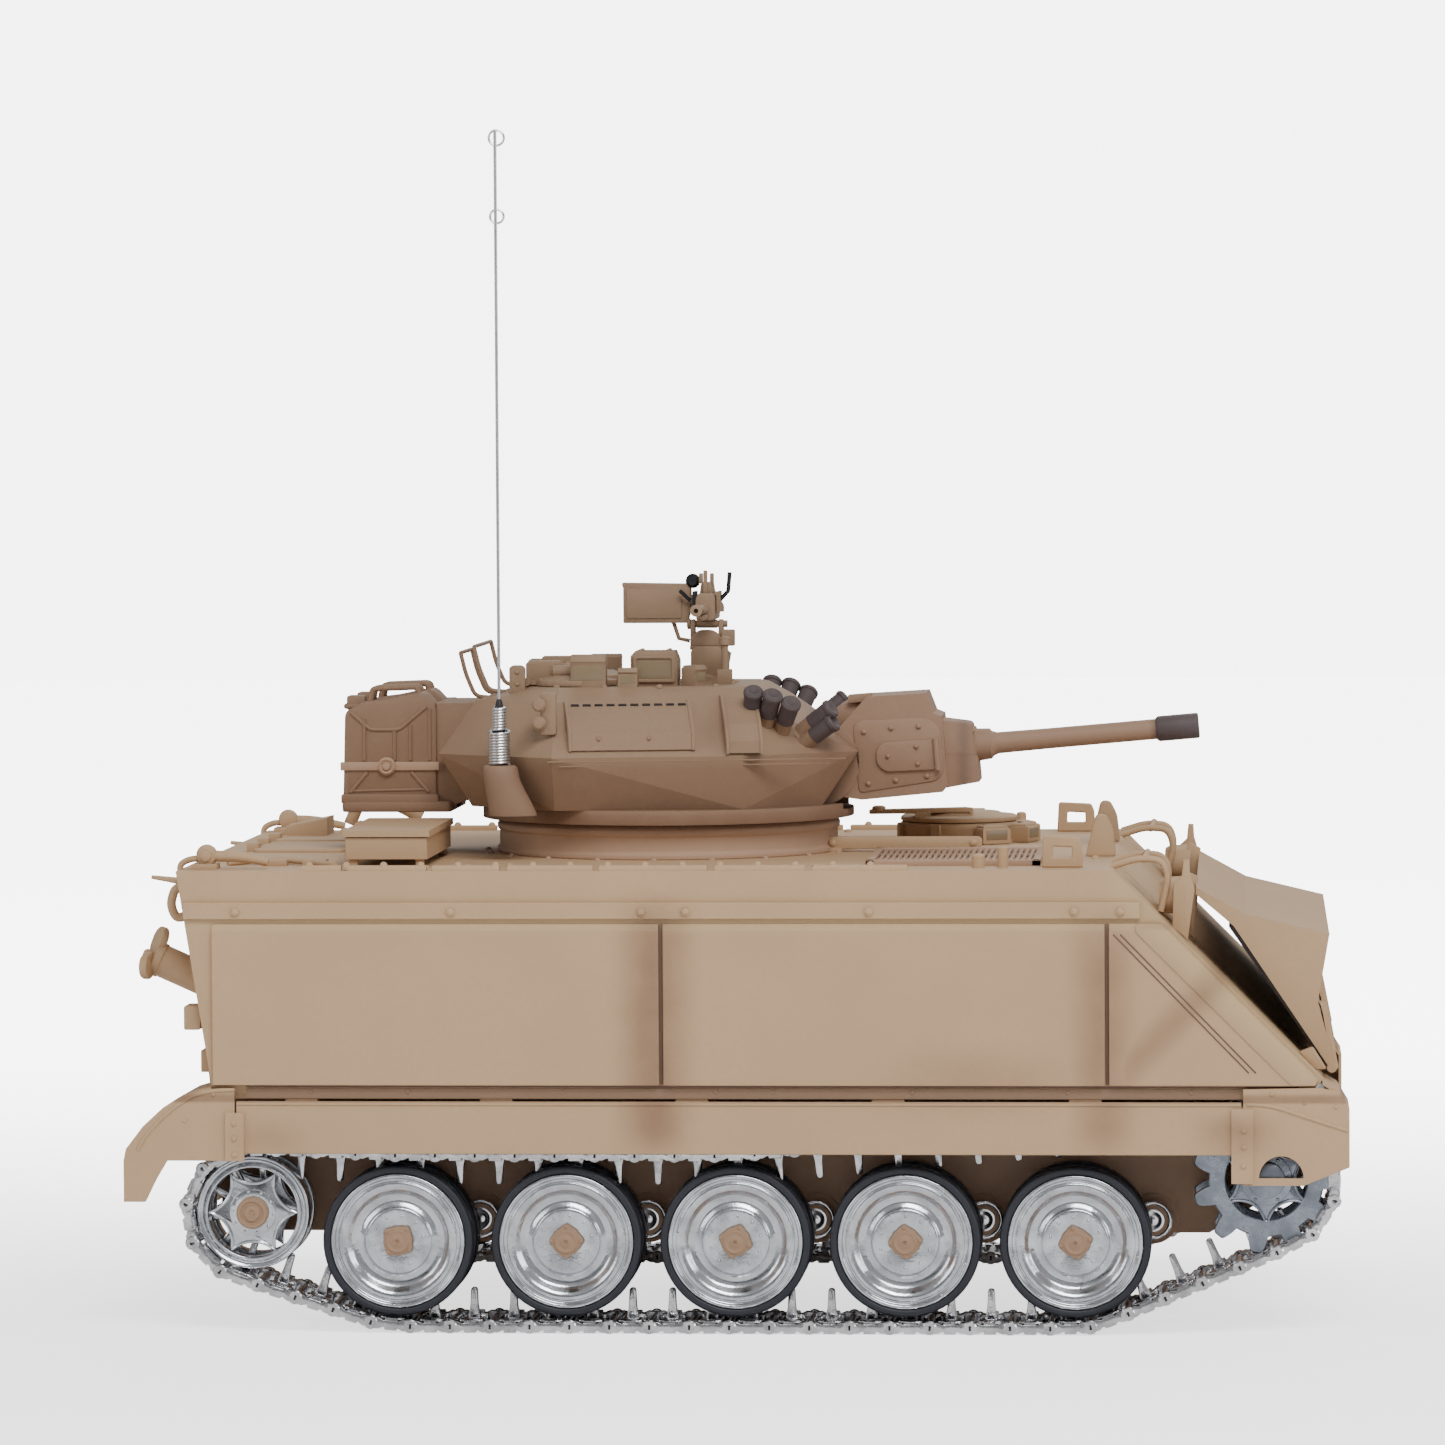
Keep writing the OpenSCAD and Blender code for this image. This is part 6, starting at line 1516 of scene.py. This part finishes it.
def build_stage():
    """Camera, pale floor, bright surroundings, soft lights, and dark cards for the metal to mirror."""
    camera = bpy.data.cameras.new("camera")
    camera.sensor_width, camera.lens, camera.clip_end = 36, 174.3, 20
    eye = bpy.data.objects.new("camera", camera)
    bpy.context.scene.collection.objects.link(eye)
    place(eye, CAMERA, AIM, CAMERA_ROLL)
    bpy.context.scene.camera = eye
    floor = sheet("floor", [(-3, -1.4, 0), (3, -1.4, 0), (3, 4.0, 0), (-3, 4.0, 0)], "floor")
    cards = [sheet("dark_card_" + str(i), points, "card") for i, points in enumerate(CARDS)]
    for card in cards:
        card.visible_shadow = False
        card.visible_diffuse = False
    lamps = [lamp("key", (0.35, -1.1, 1.3), (0, 0, 0.08), 0.9, 0.6, 19),
             lamp("fill", (-1.3, -0.9, 0.7), (0, 0, 0.08), 0.8, 0.8, 5),
             lamp("rim", (0.2, 1.2, 1.1), (0, 0, 0.1), 1.4, 0.6, 8),
             lamp("bow", (1.4, -0.5, 0.5), (0, 0, 0.06), 0.6, 0.6, 4)]
    world = bpy.data.worlds.new("surround")
    world.use_nodes = True
    tree = world.node_tree
    seen, lit = tree.nodes["Background"], tree.nodes.new("ShaderNodeBackground")
    seen.inputs["Strength"].default_value, lit.inputs["Strength"].default_value = WORLD_SEEN, WORLD_LIGHT
    seen.inputs["Color"].default_value = lit.inputs["Color"].default_value = (1, 1, 1, 1)
    either = tree.nodes.new("ShaderNodeMixShader")
    tree.links.new(tree.nodes.new("ShaderNodeLightPath").outputs["Is Camera Ray"], either.inputs[0])
    tree.links.new(lit.outputs[0], either.inputs[1])
    tree.links.new(seen.outputs[0], either.inputs[2])
    tree.links.new(either.outputs[0], tree.nodes["World Output"].inputs["Surface"])
    bpy.context.scene.world = world


CAMERA_ROLL = -0.35
WORLD_SEEN = 6.0
WORLD_LIGHT = 0.4
CARDS = [
    [(-1.2, -1.9, -0.02), (1.2, -1.9, -0.02), (1.2, -1.9, 0.11), (-1.2, -1.9, 0.11)],
    [(-1.2, -1.9, 0.36), (0.0, -1.9, 0.36), (0.0, -1.9, 0.62), (-1.2, -1.9, 0.62)],
    [(-0.7, -0.9, 1.6), (-0.15, -0.9, 1.6), (-0.15, -0.2, 1.6), (-0.7, -0.2, 1.6)],
]

# ---- Operators, panel and registration ----


class TANK_OT_paint_nodes(bpy.types.Operator):
    """Gives the CAD parts their paint and rounds their edges"""

    bl_idname = "tank.paint_nodes"
    bl_label = "Paint hull parts"

    def execute(self, context):
        paint_nodes()
        return {"FINISHED"}


class TANK_OT_tracks(bpy.types.Operator):
    """Builds both tracks from repeated links"""

    bl_idname = "tank.tracks"
    bl_label = "Tracks"

    def execute(self, context):
        build_tracks()
        return {"FINISHED"}


class TANK_OT_wheels(bpy.types.Operator):
    """Builds the ten road wheels"""

    bl_idname = "tank.wheels"
    bl_label = "Road wheels"

    def execute(self, context):
        build_wheels()
        return {"FINISHED"}


class TANK_OT_idlers(bpy.types.Operator):
    """Builds the two rear idler wheels"""

    bl_idname = "tank.idlers"
    bl_label = "Idlers"

    def execute(self, context):
        build_idlers()
        return {"FINISHED"}


class TANK_OT_sprockets(bpy.types.Operator):
    """Builds the two drive sprockets"""

    bl_idname = "tank.sprockets"
    bl_label = "Sprockets"

    def execute(self, context):
        build_sprockets()
        return {"FINISHED"}


class TANK_OT_arms(bpy.types.Operator):
    """Builds the ten trailing arms"""

    bl_idname = "tank.arms"
    bl_label = "Swing arms"

    def execute(self, context):
        build_arms()
        return {"FINISHED"}


class TANK_OT_hull_trim(bpy.types.Operator):
    """Builds the bolts, beads and grooves of the hull"""

    bl_idname = "tank.hull_trim"
    bl_label = "Hull trim"

    def execute(self, context):
        build_hull_trim()
        return {"FINISHED"}


class TANK_OT_bow(bpy.types.Operator):
    """Builds the lamp guards, loops and lugs of the bow"""

    bl_idname = "tank.bow"
    bl_label = "Bow fittings"

    def execute(self, context):
        build_bow()
        return {"FINISHED"}


class TANK_OT_rear(bpy.types.Operator):
    """Builds the pipes, hooks and rods of the rear"""

    bl_idname = "tank.rear"
    bl_label = "Rear fittings"

    def execute(self, context):
        build_rear()
        return {"FINISHED"}


class TANK_OT_roof(bpy.types.Operator):
    """Builds the grille slats, driver's hatch and race ring"""

    bl_idname = "tank.roof"
    bl_label = "Roof details"

    def execute(self, context):
        build_roof()
        return {"FINISHED"}


class TANK_OT_rear_door(bpy.types.Operator):
    """Builds the door pressed into the ramp"""

    bl_idname = "tank.rear_door"
    bl_label = "Rear door"

    def execute(self, context):
        build_rear_door()
        return {"FINISHED"}


class TANK_OT_vane(bpy.types.Operator):
    """Builds the dark sheet of painted shadow under the trim vane, and its straps"""

    bl_idname = "tank.vane"
    bl_label = "Trim vane painted shadow"

    def execute(self, context):
        build_vane_back()
        return {"FINISHED"}


class TANK_OT_turret_trim(bpy.types.Operator):
    """Builds the bins, lips and brackets of the turret"""

    bl_idname = "tank.turret_trim"
    bl_label = "Turret trim"

    def execute(self, context):
        build_turret_trim()
        return {"FINISHED"}


class TANK_OT_rack(bpy.types.Operator):
    """Builds the rear rack and its fuel cans"""

    bl_idname = "tank.rack"
    bl_label = "Rack and cans"

    def execute(self, context):
        build_rack()
        return {"FINISHED"}


class TANK_OT_smoke(bpy.types.Operator):
    """Builds the smoke launcher tubes"""

    bl_idname = "tank.smoke"
    bl_label = "Smoke launchers"

    def execute(self, context):
        build_smoke()
        return {"FINISHED"}


class TANK_OT_sights(bpy.types.Operator):
    """Builds the periscopes and the gunner's sight"""

    bl_idname = "tank.sights"
    bl_label = "Periscopes and sights"

    def execute(self, context):
        build_sights()
        return {"FINISHED"}


class TANK_OT_antenna(bpy.types.Operator):
    """Builds the whip antenna and its spring"""

    bl_idname = "tank.antenna"
    bl_label = "Antenna"

    def execute(self, context):
        build_antenna()
        return {"FINISHED"}


class TANK_OT_hatches(bpy.types.Operator):
    """Builds the fittings on the turret's hatch lids"""

    bl_idname = "tank.hatches"
    bl_label = "Turret hatches"

    def execute(self, context):
        build_hatches()
        return {"FINISHED"}


class TANK_OT_machine_gun(bpy.types.Operator):
    """Builds the machine gun and its pintle"""

    bl_idname = "tank.machine_gun"
    bl_label = "Machine gun"

    def execute(self, context):
        build_machine_gun()
        return {"FINISHED"}


class TANK_OT_gun(bpy.types.Operator):
    """Builds the mantlet's fittings and the barrel"""

    bl_idname = "tank.gun"
    bl_label = "Gun"

    def execute(self, context):
        build_gun()
        return {"FINISHED"}


class TANK_OT_stage(bpy.types.Operator):
    """Builds the camera, floor and lights"""

    bl_idname = "tank.stage"
    bl_label = "Stage"

    def execute(self, context):
        build_stage()
        return {"FINISHED"}


class TANK_PT_panel(bpy.types.Panel):
    """Runs the builders and shows the measures."""

    bl_idname = "TANK_PT_panel"
    bl_label = "RC tank"
    bl_space_type = "VIEW_3D"
    bl_region_type = "UI"
    bl_category = "RC tank"

    def draw(self, context):
        layout = self.layout
        for title, group, kinds in GROUPS:
            box_ui = layout.box()
            box_ui.label(text=title)
            if group:
                data = getattr(context.scene, group)
                for key in data.__annotations__:
                    box_ui.prop(data, key)
            for kind in kinds:
                box_ui.operator(kind.bl_idname)


GROUPS = [
    ("Running gear", "tank_gear", [TANK_OT_tracks, TANK_OT_wheels, TANK_OT_idlers, TANK_OT_sprockets,
                                   TANK_OT_arms]),
    ("Hull", "tank_hull", [TANK_OT_paint_nodes, TANK_OT_hull_trim, TANK_OT_bow, TANK_OT_rear, TANK_OT_roof,
                           TANK_OT_rear_door, TANK_OT_vane]),
    ("Turret", "tank_turret", [TANK_OT_turret_trim, TANK_OT_rack, TANK_OT_smoke, TANK_OT_sights,
                               TANK_OT_antenna, TANK_OT_hatches,
                               TANK_OT_machine_gun, TANK_OT_gun]),
    ("Stage", None, [TANK_OT_stage]),
]
LOOKS = {"tank_gear": RunningGearLook, "tank_hull": HullLook, "tank_turret": TurretLook}


def register():
    for look in LOOKS.values():
        bpy.utils.register_class(look)
    for name, look in LOOKS.items():
        setattr(bpy.types.Scene, name, bpy.props.PointerProperty(type=look))
    for _, _, kinds in GROUPS:
        for kind in kinds:
            bpy.utils.register_class(kind)
    bpy.utils.register_class(TANK_PT_panel)


def unregister():
    bpy.utils.unregister_class(TANK_PT_panel)
    for _, _, kinds in reversed(GROUPS):
        for kind in reversed(kinds):
            bpy.utils.unregister_class(kind)
    for name in LOOKS:
        delattr(bpy.types.Scene, name)
    for look in LOOKS.values():
        bpy.utils.unregister_class(look)


def main():
    """Registers the add-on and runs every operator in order."""
    register()
    for _, _, kinds in GROUPS:
        for kind in kinds:
            family, name = kind.bl_idname.split(".")
            getattr(getattr(bpy.ops, family), name)()


if __name__ == "__main__":
    main()
